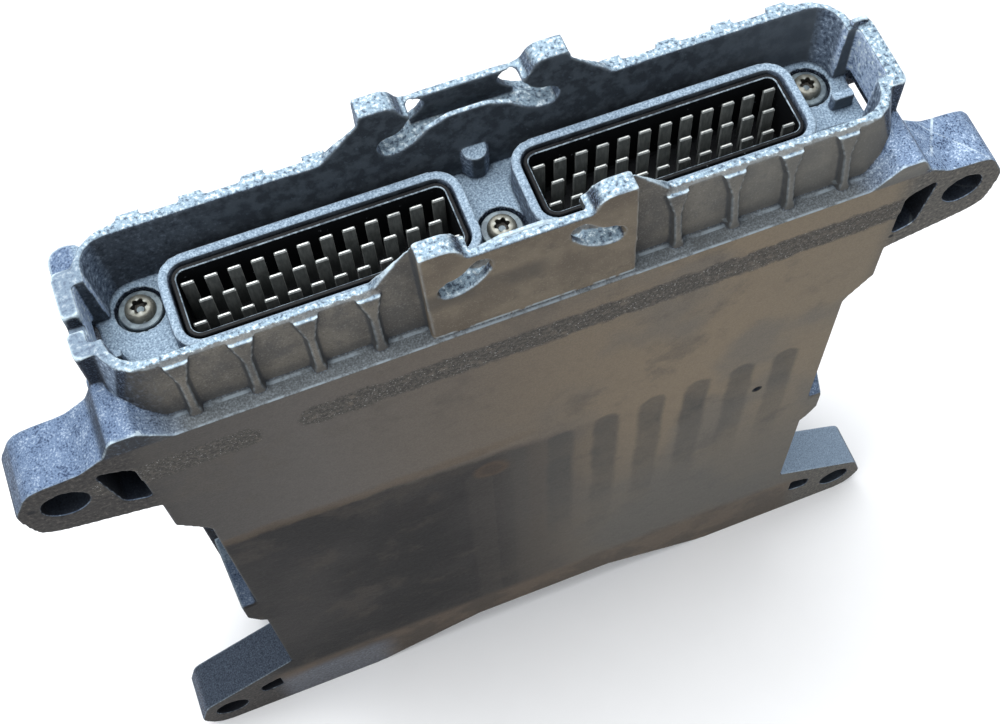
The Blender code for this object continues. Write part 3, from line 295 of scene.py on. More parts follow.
def capsule(m, x, z, centre, half, radius, soft):
    """Mask of a level capsule on the front face."""
    reach = distance(m, beyond(m, x, centre[0], half), offset(m, z, centre[1]))
    return m.step(reach, radius + soft, radius - soft)


def blot(m, x, z, centre, radius, soft):
    """Mask of a round spot on the front face."""
    reach = distance(m, offset(m, x, centre[0]), offset(m, z, centre[1]))
    return m.step(reach, radius + soft, radius - soft)


def grainy(m, noise, low, middle, high):
    """Dark and bright grains on a middle colour, all three 8-bit."""
    tint = m.mix(m.step(noise, 0.49, 0.36), tone(*middle), tone(*low))
    return m.mix(m.step(noise, 0.52, 0.66), tint, tone(*high))


# Bare cast metal, with painted light and shade

def side_metal(m, marks):
    """Slate sides as painted shade, with deeper painted shade on the left side and in the corner
    above it.
    """
    sides = grainy(m, marks["grain"], (26, 31, 40), (56, 64, 78), (108, 122, 142))
    dark = grainy(m, marks["speck"], (12, 14, 18), (26, 30, 38), (62, 72, 86))
    shaded_side = m.both(m.step(m.x, -0.070, -0.078), m.step(m.z, 0.1660, 0.1600),
                   m.step(m.z, 0.030, 0.036))
    sides = m.mix(shaded_side, sides, dark)
    # Painted shade in the corner above the left side.
    corner = m.both(m.step(m.x, -0.080, -0.088), m.step(m.z, 0.200, 0.204), 0.65)
    return m.mix(corner, sides, tone(26, 30, 37))


def front_ledge(m, marks):
    """Smooth grey shelf in front of the bay wall, with painted highlights as thin bright lines
    along it.
    """
    shelf = grainy(m, marks["grain"], (84, 88, 91), (100, 105, 108), (120, 127, 132))
    dirty = m.both(m.step(marks["blotch"], 0.54, 0.70), 0.5)
    shelf = m.mix(dirty, shelf, tone(76, 78, 78))
    # Painted highlights along the shelf's foot and its front edge.
    foot = m.step(size_of(m, offset(m, m.y, -0.0199)), 0.0005, 0.0002)
    brow = m.step(m.y, -0.0232, -0.0237)
    line = m.both(m.either(foot, brow), m.step(marks["mottle"], 0.36, 0.56), 0.75)
    return m.mix(line, shelf, tone(152, 164, 172))


def ledge_metal(m, marks):
    """Mottled blue-grey ledges, with the deck, the shelf, lower lugs and the left boss in painted
    shade apart.
    """
    width = size_of(m, m.x)
    ledges = grainy(m, marks["rock"], (52, 66, 92), (130, 152, 182), (206, 224, 244))
    shade = m.both(m.step(marks["cloud"], 0.50, 0.66), 0.55)
    shaded = grainy(m, marks["speck"], (30, 38, 54), (76, 92, 118), (150, 170, 198))
    ledges = m.mix(shade, ledges, shaded)
    left_lug = m.both(m.step(m.x, -0.078, -0.088), 0.45)
    ledges = m.mix(left_lug, ledges, tone(56, 70, 94))
    in_bay = m.both(m.step(width, 0.0875, 0.0860), m.step(m.y, -0.0150, -0.0140))
    deck = grainy(m, marks["grain"], (112, 130, 148), (144, 164, 182), (178, 198, 214))
    ledges = m.mix(in_bay, ledges, deck)
    strip = m.both(m.step(m.y, -0.0180, -0.0190), m.step(width, 0.0880, 0.0740),
                   m.step(m.z, 0.2020, 0.2030))
    ledges = m.mix(strip, ledges, front_ledge(m, marks))
    low = m.step(m.z, 0.060, 0.045)
    dull = grainy(m, marks["grain"], (40, 47, 58), (56, 64, 76), (72, 82, 94))
    ledges = m.mix(m.both(m.step(m.x, -0.060, -0.075), low), ledges, dull)
    smooth = grainy(m, marks["grain"], (112, 128, 146), (130, 148, 166), (148, 166, 184))
    ledges = m.mix(m.both(m.step(m.x, 0.060, 0.075), low), ledges, smooth)
    # Painted shade on the left boss.
    boss = m.both(m.step(m.x, -0.076, -0.079), m.step(m.z, 0.160, 0.155),
                  m.step(m.z, 0.045, 0.060), 0.55)
    return m.mix(boss, ledges, tone(34, 42, 54))


def rim_metal(m, marks):
    """Bright rims, partly wear and partly painted highlight, duller at the left end."""
    rims = grainy(m, marks["speck"], (84, 98, 114), (150, 172, 188), (232, 246, 252))
    return m.mix(m.both(m.step(m.x, -0.080, -0.088), 0.70), rims, tone(108, 122, 140))


def scratches(m, marks):
    """Bright creases over the upper right lug, each a line x = a + b (y - c) on its top."""
    lines = []
    for x, y, slope, wide, fine, strength in ((0.09765, -0.017, 0.593, 0.00050, 0.00022, 1.0),
                                              (0.1010, -0.014, -0.90, 0.00035, 0.00012, 0.6)):
        slant = m.math("SUBTRACT", offset(m, m.x, x), m.math("MULTIPLY", offset(m, m.y, y), slope))
        lines.append(m.both(m.step(size_of(m, slant), wide, fine), strength))
    top = m.both(m.step(m.nz, 0.35, 0.60), m.step(m.z, 0.2035, 0.2025), m.step(m.z, 0.170, 0.175),
                 m.step(m.y, -0.006, -0.010))
    return m.both(m.either(*lines), top, m.step(marks["mottle"], 0.34, 0.58))


def bare_metal(m, marks):
    """Cast skin with light and shade painted by the way it faces: bright rims, blue-grey ledges,
    slate sides.
    """
    high = m.step(m.z, 0.2120, 0.2180)
    above = m.mix(high, ledge_metal(m, marks), rim_metal(m, marks))
    # Painted light and shade by facing: upward faces take the lighter ledge and rim colours, the
    # rest the darker sides.
    lit_upward = m.mix(high, m.step(m.nz, 0.30, 0.78), m.step(m.nz, 0.52, 0.93))
    skin = m.mix(lit_upward, side_metal(m, marks), above)
    # Rear-facing faces take a lighter grey as painted light.
    rear = grainy(m, marks["speck"], (92, 98, 106), (120, 128, 138), (158, 168, 180))
    skin = m.mix(m.step(m.ny, 0.55, 0.85), skin, rear)
    return m.mix(scratches(m, marks), skin, tone(214, 230, 240))


def bay_walls(m, marks, skin):
    """Painted shade on the inner faces of the bay, lighter towards its ends, and painted light in
    the end recesses.
    """
    width = size_of(m, m.x)
    inside = m.both(m.step(m.z, 0.2042, 0.2052), m.step(m.y, -0.0150, -0.0142),
                    m.step(width, 0.0880, 0.0868))
    upright = m.step(size_of(m, m.nz), 0.62, 0.42)
    # Painted shade: dark slate on the bay's inner faces, lighter at the left, at the right and on
    # the end faces.
    slate = m.mix(m.step(marks["mottle"], 0.40, 0.62), tone(50, 56, 63), tone(70, 78, 86))
    slate = m.mix(m.both(m.step(marks["speck"], 0.60, 0.70), 0.5), slate, tone(84, 96, 108))
    left = grainy(m, marks["speck"], (46, 52, 60), (70, 78, 88), (98, 108, 120))
    slate = m.mix(m.both(m.step(m.x, -0.045, -0.072), 0.6), slate, left)
    right = m.mix(marks["mottle"], tone(76, 84, 92), tone(98, 106, 114))
    slate = m.mix(m.both(m.step(m.x, 0.045, 0.080), 0.7), slate, right)
    ends = grainy(m, marks["speck"], (64, 74, 90), (98, 112, 130), (150, 166, 184))
    slate = m.mix(m.step(size_of(m, m.nx), 0.35, 0.75), slate, ends)
    skin = m.mix(m.both(inside, upright), skin, slate)
    # Painted light on the inward faces of the end recesses, which lie in shade.
    recess = m.both(m.step(width, 0.0835, 0.0845), m.step(m.z, 0.2048, 0.2056),
                    m.step(m.y, -0.0085, -0.0068), m.step(m.y, 0.0092, 0.0072),
                    m.step(width, 0.0906, 0.0896), upright)
    inward = m.step(m.math("MULTIPLY", m.nx, m.math("SIGN", m.x)), -0.30, -0.70)
    bright = grainy(m, marks["speck"], (112, 132, 160), (176, 196, 224), (236, 250, 255))
    return m.mix(m.both(recess, inward), skin, bright), inside


def deck_shadows(m):
    """Dished dark crescents in the deck behind the front rim."""
    spots = []
    for x, y in ((-0.0742, -0.0066), (0.0787, -0.0056)):
        reach = distance(m, beyond(m, m.x, x, 0.0022),
                         m.math("MULTIPLY", offset(m, m.y, y), 1.6))
        spots.append(m.step(reach, 0.0015, 0.0004))
    return m.both(m.either(*spots), m.step(m.z, 0.2030, 0.2036), m.step(m.z, 0.2056, 0.2046), 0.75)


# Films and stains on the front of the casting, with painted shade and painted highlights

def plate_film(m, marks):
    """Browner film on the front hook plate, with a dark smear and a painted highlight along its
    lower edge.
    """
    brown = m.mix(m.step(marks["blotch"], 0.38, 0.64), tone(92, 84, 74), tone(110, 101, 88))
    brown = m.mix(m.both(m.step(marks["mottle"], 0.56, 0.74), 0.6), brown, tone(84, 78, 70))
    brown = m.mix(m.both(m.step(marks["grain"], 0.56, 0.68), 0.25), brown, tone(140, 134, 122))
    smear = m.both(m.step(m.x, 0.006, 0.000), m.step(m.z, 0.2130, 0.2165),
                   m.step(m.z, 0.2215, 0.2185), m.step(marks["blotch"], 0.40, 0.56), 0.6)
    brown = m.mix(smear, brown, tone(62, 60, 58))
    # Painted highlight along the plate's lower edge.
    hem_highlight = m.both(m.step(size_of(m, offset(m, m.z, 0.2047)), 0.0005, 0.0002),
                 m.step(marks["mottle"], 0.40, 0.56), 0.8)
    return m.mix(hem_highlight, brown, tone(150, 162, 168))


def wall_film(m, marks):
    """Brown-grey film on the front of the bay wall and of the hook plate, with painted shade on
    side faces and at the left corner.
    """
    width = size_of(m, m.x)
    film = m.mix(m.step(marks["blotch"], 0.40, 0.62), tone(84, 82, 79), tone(106, 102, 95))
    film = m.mix(m.both(m.step(marks["mottle"], 0.52, 0.72), 0.7), film, tone(80, 79, 78))
    film = m.mix(m.both(m.step(marks["grain"], 0.56, 0.68), 0.35), film, tone(136, 134, 130))
    film = m.mix(m.both(m.step(marks["grain"], 0.42, 0.34), 0.35), film, tone(58, 57, 56))
    film = m.mix(m.both(m.step(m.x, 0.020, 0.060), 0.45), film, tone(112, 112, 108))
    film = m.mix(m.both(m.step(m.z, 0.2085, 0.2050), 0.45), film, tone(74, 76, 78))
    # Painted shade on the side faces of the ribs.
    shaded_side = m.both(m.step(size_of(m, m.nx), 0.30, 0.70), m.step(width, 0.0800, 0.0780), 0.8)
    film = m.mix(shaded_side, film, tone(62, 64, 66))
    plate = m.both(m.step(width, 0.0245, 0.0235), m.step(m.y, -0.0195, -0.0205))
    film = m.mix(plate, film, plate_film(m, marks))
    # Painted shade at the left corner of the wall.
    corner = grainy(m, marks["speck"], (18, 22, 30), (36, 42, 50), (70, 80, 94))
    return m.mix(m.both(m.step(m.x, -0.074, -0.086), 0.9), film, corner)


RIB_PITCH = 0.01275
RIB_FIRST = 0.0052
RIB_LAST = 0.0690
RIB_TOP = 0.1305

# Round stains on the face: place, radius, softness, strength and 8-bit colour
FACE_STAINS = [((-0.0136, 0.1266), 0.0050, 0.0012, 0.55, (84, 68, 54)),
               ((-0.0136, 0.1266), 0.0032, 0.0010, 0.60, (58, 52, 47)),
               ((-0.0358, 0.1182), 0.0060, 0.0025, 0.55, (38, 35, 35)),
               ((-0.0690, 0.1180), 0.0075, 0.0030, 0.40, (42, 40, 41))]


def rib_prints(m, x, z, marks):
    """Six round-topped prints of the ribs that the face was bolted against."""
    share = m.math("DIVIDE", offset(m, x, RIB_FIRST), RIB_PITCH)
    turn = m.math("SUBTRACT", m.math("FRACT", m.math("ADD", share, 0.5)), 0.5)
    rise = m.math("MAXIMUM", offset(m, z, RIB_TOP), 0.0)
    edge = m.step(distance(m, m.math("MULTIPLY", turn, RIB_PITCH), rise), 0.0046, 0.0026)
    span = m.both(m.step(m.x, RIB_FIRST - 0.020, RIB_FIRST - 0.002),
                  m.step(m.x, RIB_LAST + 0.0065, RIB_LAST + 0.0055))
    length = m.math("ADD", 0.085, m.math("MULTIPLY", m.x, 0.35))
    fade = m.step(m.math("SUBTRACT", z, length), -0.050, 0.030)
    return m.both(edge, span, fade, m.math("ADD", 0.20, marks["blotch"]))


def faint_comb(m, x, z):
    """Hardly seen print of a comb left of the ribs' prints."""
    comb = m.step(m.math("FRACT", m.math("DIVIDE", offset(m, x, -0.0139), RIB_PITCH)), 0.36, 0.52)
    return m.both(m.step(m.x, -0.028, -0.022), m.step(m.x, 0.000, -0.004),
                  m.step(z, 0.128, 0.124), comb, 0.12)


def lower_stain(m, x, z):
    """Dark zone over the lower left of the face, with a soft sloping top edge."""
    slope = m.math("MULTIPLY", m.math("MAXIMUM", m.x, -0.056), -0.11)
    edge = m.step(m.math("SUBTRACT", z, m.math("ADD", 0.1345, slope)), 0.0026, -0.0026)
    return m.both(edge, m.step(m.x, 0.030, -0.020))


def face_ground(m, marks, z):
    """Brown film over the whole face, greyer low on the right."""
    ground = m.ramp(m.x, (-0.090, 0.090), [(0.0, tone(68, 66, 64)), (0.20, tone(90, 86, 82)),
                                           (0.48, tone(104, 95, 84)), (0.75, tone(118, 108, 94)),
                                           (1.0, tone(112, 106, 95))])
    patch = m.mix(m.step(marks["cloud"], 0.46, 0.62), tone(126, 112, 92), tone(98, 94, 88))
    ground = m.mix(m.both(m.step(m.x, -0.030, 0.040), 0.5), ground, patch)
    ground = m.mix(m.both(m.step(marks["blotch"], 0.52, 0.70), 0.5), ground, tone(82, 77, 71))
    grey = m.both(m.step(z, 0.135, 0.050), m.step(m.x, -0.020, 0.030), 0.75)
    return m.mix(grey, ground, tone(88, 87, 84))


def dark_film(m, marks):
    """Colour of the dark zone, lighter to the right."""
    dark = m.mix(m.step(marks["cloud"], 0.40, 0.60), tone(34, 33, 33), tone(48, 46, 45))
    dark = m.mix(m.both(m.step(marks["blotch"], 0.50, 0.66), 0.6), dark, tone(62, 57, 52))
    return m.mix(m.step(m.x, -0.030, 0.020), dark, tone(66, 64, 62))


def face_print(m, marks):
    """The mounting face: brown film, dark zone, rib prints, stains and a pale foot."""
    wander = m.math("MULTIPLY", offset(m, marks["blotch"], 0.5), 0.007)
    x = m.math("ADD", m.x, m.math("MULTIPLY", wander, 0.4))
    z = m.math("ADD", m.z, wander)
    face = face_ground(m, marks, z)
    face = m.mix(lower_stain(m, x, z), face, dark_film(m, marks))
    face = m.mix(rib_prints(m, x, z, marks), face, tone(66, 66, 64))
    face = m.mix(faint_comb(m, x, z), face, tone(92, 86, 78))
    for place, radius, soft, strength, colour in FACE_STAINS:
        stain = m.both(blot(m, x, z, place, radius, soft), strength)
        face = m.mix(stain, face, tone(*colour))
    rim = m.both(m.step(size_of(m, offset(m, z, 0.1405)), 0.0030, 0.0008),
                 m.step(m.x, 0.005, -0.020), 0.45)
    face = m.mix(rim, face, tone(92, 78, 62))
    foot = m.mix(m.step(marks["blotch"], 0.4, 0.6), tone(78, 70, 62), tone(98, 86, 74))
    face = m.mix(m.both(m.step(z, 0.0290, 0.0235), 0.75), face, foot)
    pale = grainy(m, marks["speck"], (72, 76, 84), (96, 100, 108), (120, 126, 134))
    low_left = m.both(m.step(m.x, -0.048, -0.058), m.step(z, 0.024, 0.016), 0.8)
    face = m.mix(low_left, face, pale)
    fine = m.mix(m.step(marks["grain"], 0.36, 0.64), (0.84, 0.84, 0.85), (1.0, 1.0, 1.0))
    fine = m.mix(m.both(m.step(marks["mottle"], 0.50, 0.70), 0.5), fine, (0.80, 0.80, 0.82))
    return m.mix(1.0, face, fine, "MULTIPLY")


def lug_film(m, marks):
    """Film on the fronts of the lugs, darker on the left."""
    film = grainy(m, marks["speck"], (58, 57, 55), (84, 82, 78), (114, 109, 102))
    dark = grainy(m, marks["speck"], (36, 35, 34), (56, 54, 53), (84, 80, 76))
    return m.mix(m.step(m.x, 0.0, -0.085), film, dark)


# Rough bands near the top of the face: middle and half length
ROUGH_BANDS = [((0.0210, 0.1912), 0.0715), ((-0.0810, 0.1917), 0.0140)]
ROUGH_BAND_RADIUS = 0.0043


def rough_bands(m, marks):
    """Mask of the bands, with a ragged edge."""
    ragged = m.math("MULTIPLY", offset(m, marks["mottle"], 0.5), 0.0040)
    z = m.math("ADD", m.z, ragged)
    bands = [capsule(m, m.x, z, middle, half, ROUGH_BAND_RADIUS, 0.0008)
             for middle, half in ROUGH_BANDS]
    return m.both(m.either(*bands), m.step(m.x, 0.0905, 0.0885), 0.92)


def band_grit(m, marks):
    """Colour of the bands: dark grit with pale grains."""
    grit = m.mix(m.step(marks["speck"], 0.42, 0.60), tone(56, 54, 52), tone(82, 79, 74))
    grit = m.mix(m.step(marks["mottle"], 0.56, 0.70), grit, tone(96, 90, 82))
    grit = m.mix(m.step(marks["grain"], 0.64, 0.70), grit, tone(160, 160, 158))
    return m.mix(m.step(marks["grain"], 0.38, 0.32), grit, tone(34, 32, 32))


LUG_HOLE_X = 0.105
LUG_HOLE_HEIGHTS = (0.0115, 0.1905)
FACE_HOLE = (0.0628, 0.1146)

# Pockets beside the lug holes: soft steps at the inner and outer side, the foot and the top
LUG_POCKETS = [((0.0872, 0.0878), (0.0985, 0.0978), (0.1788, 0.1794), (0.2000, 0.1992)),
               ((0.0860, 0.0866), (0.0955, 0.0948), (0.0128, 0.0134), (0.0235, 0.0228))]

# Dents in the front: place, radius and softness
FRONT_DENTS = [((-0.1117, 0.1923), 0.0009, 0.0003), ((0.0891, 0.1790), 0.0007, 0.0003),
               (FACE_HOLE, 0.0015, 0.0002)]


def shaded_pits(m):
    """Holes and pockets in the lugs, and the small hole and dents in the face."""
    pits = [blot(m, m.x, m.z, FACE_HOLE, 0.0014, 0.0002)]
    for side in (-1, 1):
        for height in LUG_HOLE_HEIGHTS:
            pits.append(blot(m, m.x, m.z, (side * LUG_HOLE_X, height), 0.0055, 0.0002))
        outward = m.math("MULTIPLY", m.x, side)
        for inner, outer, foot, top in LUG_POCKETS:
            pits.append(m.both(m.step(outward, *inner), m.step(outward, *outer),
                               m.step(m.z, *foot), m.step(m.z, *top),
                               m.step(m.y, -0.0128, -0.0140)))
    behind = m.both(m.step(m.y, -0.02385, -0.02360), m.step(m.y, -0.0060, -0.0090))
    front = m.step(m.y, -0.0233, -0.0236)
    dents = [blot(m, m.x, m.z, *dent) for dent in FRONT_DENTS]
    return m.either(m.both(behind, m.either(*pits)), m.both(front, m.either(*dents)))


def front_walls(m, marks):
    """Mask of the bay wall's front and of the ragged lower side of its rim."""
    front = m.both(m.step(m.z, 0.2034, 0.2044), m.step(m.nz, 0.60, 0.35),
                   m.step(m.y, -0.0155, -0.0162), m.step(size_of(m, m.x), 0.0935, 0.0915))
    ragged = m.math("ADD", m.y, m.math("MULTIPLY", offset(m, marks["speck"], 0.5), 0.0014))
    rim = m.both(m.step(ragged, -0.0160, -0.0166), m.step(ragged, -0.0180, -0.0175),
                 m.step(m.z, 0.2120, 0.2140), m.step(m.z, 0.2224, 0.2216), 0.88)
    return m.either(front, rim)


def cast_aluminium(name, edge_wear_and_light=True):
    """Cast skin; a piece with few vertices does without the wear, painted highlight and painted
    crease shade read from its edges.
    """
    m = Finish(name)
    marks = {"grain": m.noise(2300, 2, 0.6), "speck": m.noise(1000, 4, 0.65, offset=0.3),
             "mottle": m.noise(320, 5, 0.6), "blotch": m.noise(75, 5, 0.6, offset=1.7),
             "cloud": m.noise(26, 3, 0.5, offset=0.9)}
    marks["rock"] = m.math("ADD", m.math("MULTIPLY", marks["grain"], 0.62),
                           m.math("MULTIPLY", marks["mottle"], 0.38))
    skin, inside = bay_walls(m, marks, bare_metal(m, marks))
    skin = m.mix(deck_shadows(m), skin, tone(56, 64, 74))
    wall = front_walls(m, marks)
    skin = m.mix(wall, skin, wall_film(m, marks))
    lugs = m.step(size_of(m, m.x), 0.084, 0.092)
    face = m.mix(lugs, face_print(m, marks), lug_film(m, marks))
    face = m.mix(rough_bands(m, marks), face, band_grit(m, marks))
    plane = m.both(m.step(m.ny, -0.55, -0.86),
                   m.both(m.step(m.y, -0.0234, -0.0238), m.step(m.z, 0.2046, 0.2036)))
    skin = m.mix(plane, skin, face)
    film = m.either(plane, wall, inside)
    if edge_wear_and_light:
        # Bright convex edges are wear and painted highlight, stronger towards the top; dark
        # concave creases are dirt and painted shade.
        point = m.geometry.outputs["Pointiness"]
        wear_and_glint = m.both(m.step(point, 0.516, 0.552),
                      m.math("ADD", 0.25, m.math("MULTIPLY", marks["speck"], 1.1)),
                      m.math("SUBTRACT", 1.0, m.both(film, 0.85)),
                      m.math("ADD", 0.25, m.math("MULTIPLY", m.step(m.z, 0.200, 0.212), 0.75)))
        skin = m.mix(wear_and_glint, skin, tone(214, 232, 242))
        crease_dirt_and_shade = m.both(m.step(point, 0.488, 0.450), 0.55)
        skin = m.mix(crease_dirt_and_shade, skin, tone(46, 50, 56))
    skin = m.mix(m.both(shaded_pits(m), 0.93), skin, tone(22, 24, 28))
    height = m.math("ADD", m.math("MULTIPLY", marks["mottle"], 0.8),
                    m.math("MULTIPLY", marks["grain"], 0.35))
    return m.set(colour=skin, metal=m.math("MULTIPLY", m.math("SUBTRACT", 1.0, film), 0.25),
                 rough=m.math("ADD", 0.50, m.math("MULTIPLY", marks["speck"], 0.25)),
                 specular=0.10, normal=m.bump(height, 0.00020, 0.8))


# Other finishes

def varied(m, base, noise, share):
    """Roughness that follows a noise."""
    return m.math("ADD", base, m.math("MULTIPLY", noise, share))


def plated_steel():
    m = Finish("plated_steel")
    cloud = m.noise(420, 4, 0.6)
    fine = m.noise(1800, 3, 0.6)
    tint = m.mix(m.step(cloud, 0.36, 0.64), (0.085, 0.084, 0.064), (0.20, 0.19, 0.15))
    tint = m.mix(m.step(fine, 0.56, 0.70), tint, (0.060, 0.055, 0.040))
    point = m.geometry.outputs["Pointiness"]
    tint = m.mix(m.step(point, 0.52, 0.60), tint, (0.50, 0.52, 0.48))
    return m.set(colour=tint, metal=0.45, rough=varied(m, 0.30, cloud, 0.25),
                 normal=m.bump(fine, 0.00005, 0.6))


def washer_steel():
    m = Finish("washer_steel")
    turned = m.noise(520, 4, 0.6)
    fine = m.noise(1900, 3, 0.6)
    tint = m.mix(m.step(turned, 0.38, 0.62), tone(94, 106, 114), tone(128, 142, 148))
    tint = m.mix(m.both(m.step(fine, 0.56, 0.70), 0.5), tint, tone(70, 78, 84))
    return m.set(colour=tint, metal=0.3, rough=varied(m, 0.34, turned, 0.2),
                 normal=m.bump(fine, 0.00004, 0.6))


def sheet_steel():
    m = Finish("sheet_steel")
    streak = m.noise(300, 4, 0.6, stretch=(1, 12, 1))
    tint = m.mix(m.step(streak, 0.35, 0.65), (0.34, 0.35, 0.36), (0.52, 0.53, 0.54))
    return m.set(colour=tint, metal=0.9, rough=varied(m, 0.25, streak, 0.3),
                 normal=m.bump(streak, 0.00003, 0.5))


def tinned_blade():
    """Blades, with painted shade darker down in the socket."""
    m = Finish("tinned_blade")
    streak = m.noise(700, 4, 0.6, stretch=(2.5, 1, 0.5))
    cloud = m.noise(260, 3, 0.6)
    tint = m.mix(m.step(streak, 0.35, 0.66), (0.23, 0.25, 0.245), (0.36, 0.38, 0.37))
    tint = m.mix(m.both(m.step(cloud, 0.50, 0.70), 0.6), tint, (0.17, 0.18, 0.17))
    # Painted shade deeper down in the socket.
    deep = m.both(m.step(m.z, 0.2085, 0.1980), 0.8)
    tint = m.mix(deep, tint, (0.05, 0.055, 0.055))
    return m.set(colour=tint, metal=0.55, rough=varied(m, 0.30, cloud, 0.2),
                 normal=m.bump(streak, 0.00003, 0.5))


def blade_highlight():
    """Painted highlight on the tips and narrow faces of the blades, darker down in the socket as
    painted shade.
    """
    m = Finish("blade_highlight")
    cloud = m.noise(600, 3, 0.6)
    tint = m.mix(m.step(cloud, 0.35, 0.65), (0.38, 0.40, 0.39), (0.58, 0.59, 0.56))
    # Painted shade deeper down in the socket.
    deep = m.both(m.step(m.z, 0.2090, 0.1990), 0.8)
    tint = m.mix(deep, tint, (0.10, 0.105, 0.10))
    return m.set(colour=tint, metal=0.5, rough=varied(m, 0.26, cloud, 0.15))


def black_plastic():
    """Black plastic with a few pale specks of dust."""
    m = Finish("black_plastic")
    fine = m.noise(2600, 3, 0.6)
    dust = m.noise(1100, 2, 0.5, offset=0.2)
    tint = m.mix(m.step(fine, 0.4, 0.7), (0.0035, 0.0038, 0.0045), (0.009, 0.010, 0.012))
    tint = m.mix(m.both(m.step(dust, 0.735, 0.77), 0.6), tint, (0.30, 0.33, 0.36))
    return m.set(colour=tint, rough=varied(m, 0.40, fine, 0.2), specular=0.15,
                 normal=m.bump(fine, 0.00002, 0.5))


# Painted highlight on the inner bevel of the shells' lips.
def lip_highlight():
    m = Finish("lip_highlight")
    fine = m.noise(900, 4, 0.6)
    tint = m.mix(m.step(fine, 0.38, 0.62), (0.10, 0.13, 0.16), (0.34, 0.42, 0.48))
    return m.set(colour=tint, rough=varied(m, 0.30, fine, 0.2))


def silicone():
    m = Finish("silicone")
    fine = m.noise(1200, 3, 0.6)
    tint = m.mix(m.step(fine, 0.4, 0.7), (0.06, 0.06, 0.07), (0.12, 0.12, 0.13))
    return m.set(colour=tint, rough=varied(m, 0.6, fine, 0.2))


def board_green():
    m = Finish("board_green")
    fine = m.noise(240, 3, 0.6)
    weave = m.noise(900, 2, 0.5)
    tint = m.mix(m.step(fine, 0.4, 0.7), (0.012, 0.10, 0.045), (0.02, 0.17, 0.075))
    return m.set(colour=tint, rough=varied(m, 0.3, weave, 0.25))


def plain_kind(name, dark, light, metal, rough, scale=800):
    """Two close shades of one material with a fine grain."""
    m = Finish(name)
    fine = m.noise(scale, 4, 0.6)
    return m.set(colour=m.mix(m.step(fine, 0.36, 0.66), dark, light), metal=metal,
                 rough=varied(m, rough, fine, 0.2), normal=m.bump(fine, 0.00003, 0.5))


# The casting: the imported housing, voxel-softened as a die casting is

def softened(source, name, blocks, voxel, passes, ratio, material):
    """Copy of a node joined with small blocks, each a low and a high corner."""
    cage = bmesh.new()
    cage.from_mesh(source.data)
    bmesh.ops.remove_doubles(cage, verts=cage.verts, dist=0.00001)
    for low, high in blocks:
        centre = [(a + b) / 2 for a, b in zip(low, high)]
        scale = Matrix.Diagonal([b - a for a, b in zip(low, high)] + [1.0])
        bmesh.ops.create_cube(cage, size=1.0, matrix=Matrix.Translation(centre) @ scale)
    body = new_piece(name + "_cage", cage, [], smooth=False)
    remesh = body.modifiers.new("voxels", "REMESH")
    remesh.mode = "VOXEL"
    remesh.voxel_size = voxel
    remesh.adaptivity = 0.0
    smooth = body.modifiers.new("soften", "SMOOTH")
    smooth.factor = 0.5
    smooth.iterations = passes
    dense = bpy.data.objects.new(name, evaluated_copy(body))
    bpy.context.scene.collection.objects.link(dense)
    bpy.data.objects.remove(body)
    thin = dense.modifiers.new("thin", "DECIMATE")
    thin.ratio = ratio
    mesh = evaluated_copy(dense)
    dense.modifiers.clear()
    dense.data = mesh
    mesh.name = name
    mesh.materials.clear()
    mesh.materials.append(material)
    mesh.shade_smooth()
    return dense


# Headers: black shell with its socket, and 35 separate blades in three rows

def header_body(side, name, materials):
    """Black shell; the inner bevel of its lip takes the second material, a painted highlight."""
    centre = (side * CONNECTOR_X, CONNECTOR_Y)
    inner = tuple(size - 2 * SHELL_WALL for size in SHELL_SIZE)
    inner_corner = SHELL_CORNER - SHELL_WALL
    cage = bmesh.new()
    loops = []
    for size, corner, grow, z in ((SHELL_SIZE, SHELL_CORNER, 0.0, HEADER_BOTTOM),
                                  (SHELL_SIZE, SHELL_CORNER, 0.0, SHELL_TOP - LIP_BEVEL),
                                  (SHELL_SIZE, SHELL_CORNER, -LIP_BEVEL, SHELL_TOP),
                                  (inner, inner_corner, LIP_BEVEL, SHELL_TOP),
                                  (inner, inner_corner, 0.0, SHELL_TOP - LIP_BEVEL),
                                  (inner, inner_corner, 0.0, SOCKET_FLOOR + FLOOR_BEVEL),
                                  (inner, inner_corner, -FLOOR_BEVEL, SOCKET_FLOOR)):
        outline = rounded_rectangle(centre, [s + 2 * grow for s in size], corner + grow)
        loops.append(ring(cage, outline, z))
    cage.faces.new(list(reversed(loops[0])))
    for number, (lower, upper) in enumerate(zip(loops, loops[1:])):
        for face in bridge(cage, lower, upper):
            face.material_index = 1 if number == 3 else 0
    cage.faces.new(loops[-1])
    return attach(new_piece(f"header_shell_{name}", cage, materials), "root")


def pin_spots():
    """Each blade's place in its header, and its row."""
    spots = []
    for row, count in ((-1, 12), (0, 11), (1, 12)):
        for number in range(count):
            spots.append(((number - (count - 1) / 2) * PIN_PITCH, row * PIN_PITCH, row))
    return spots


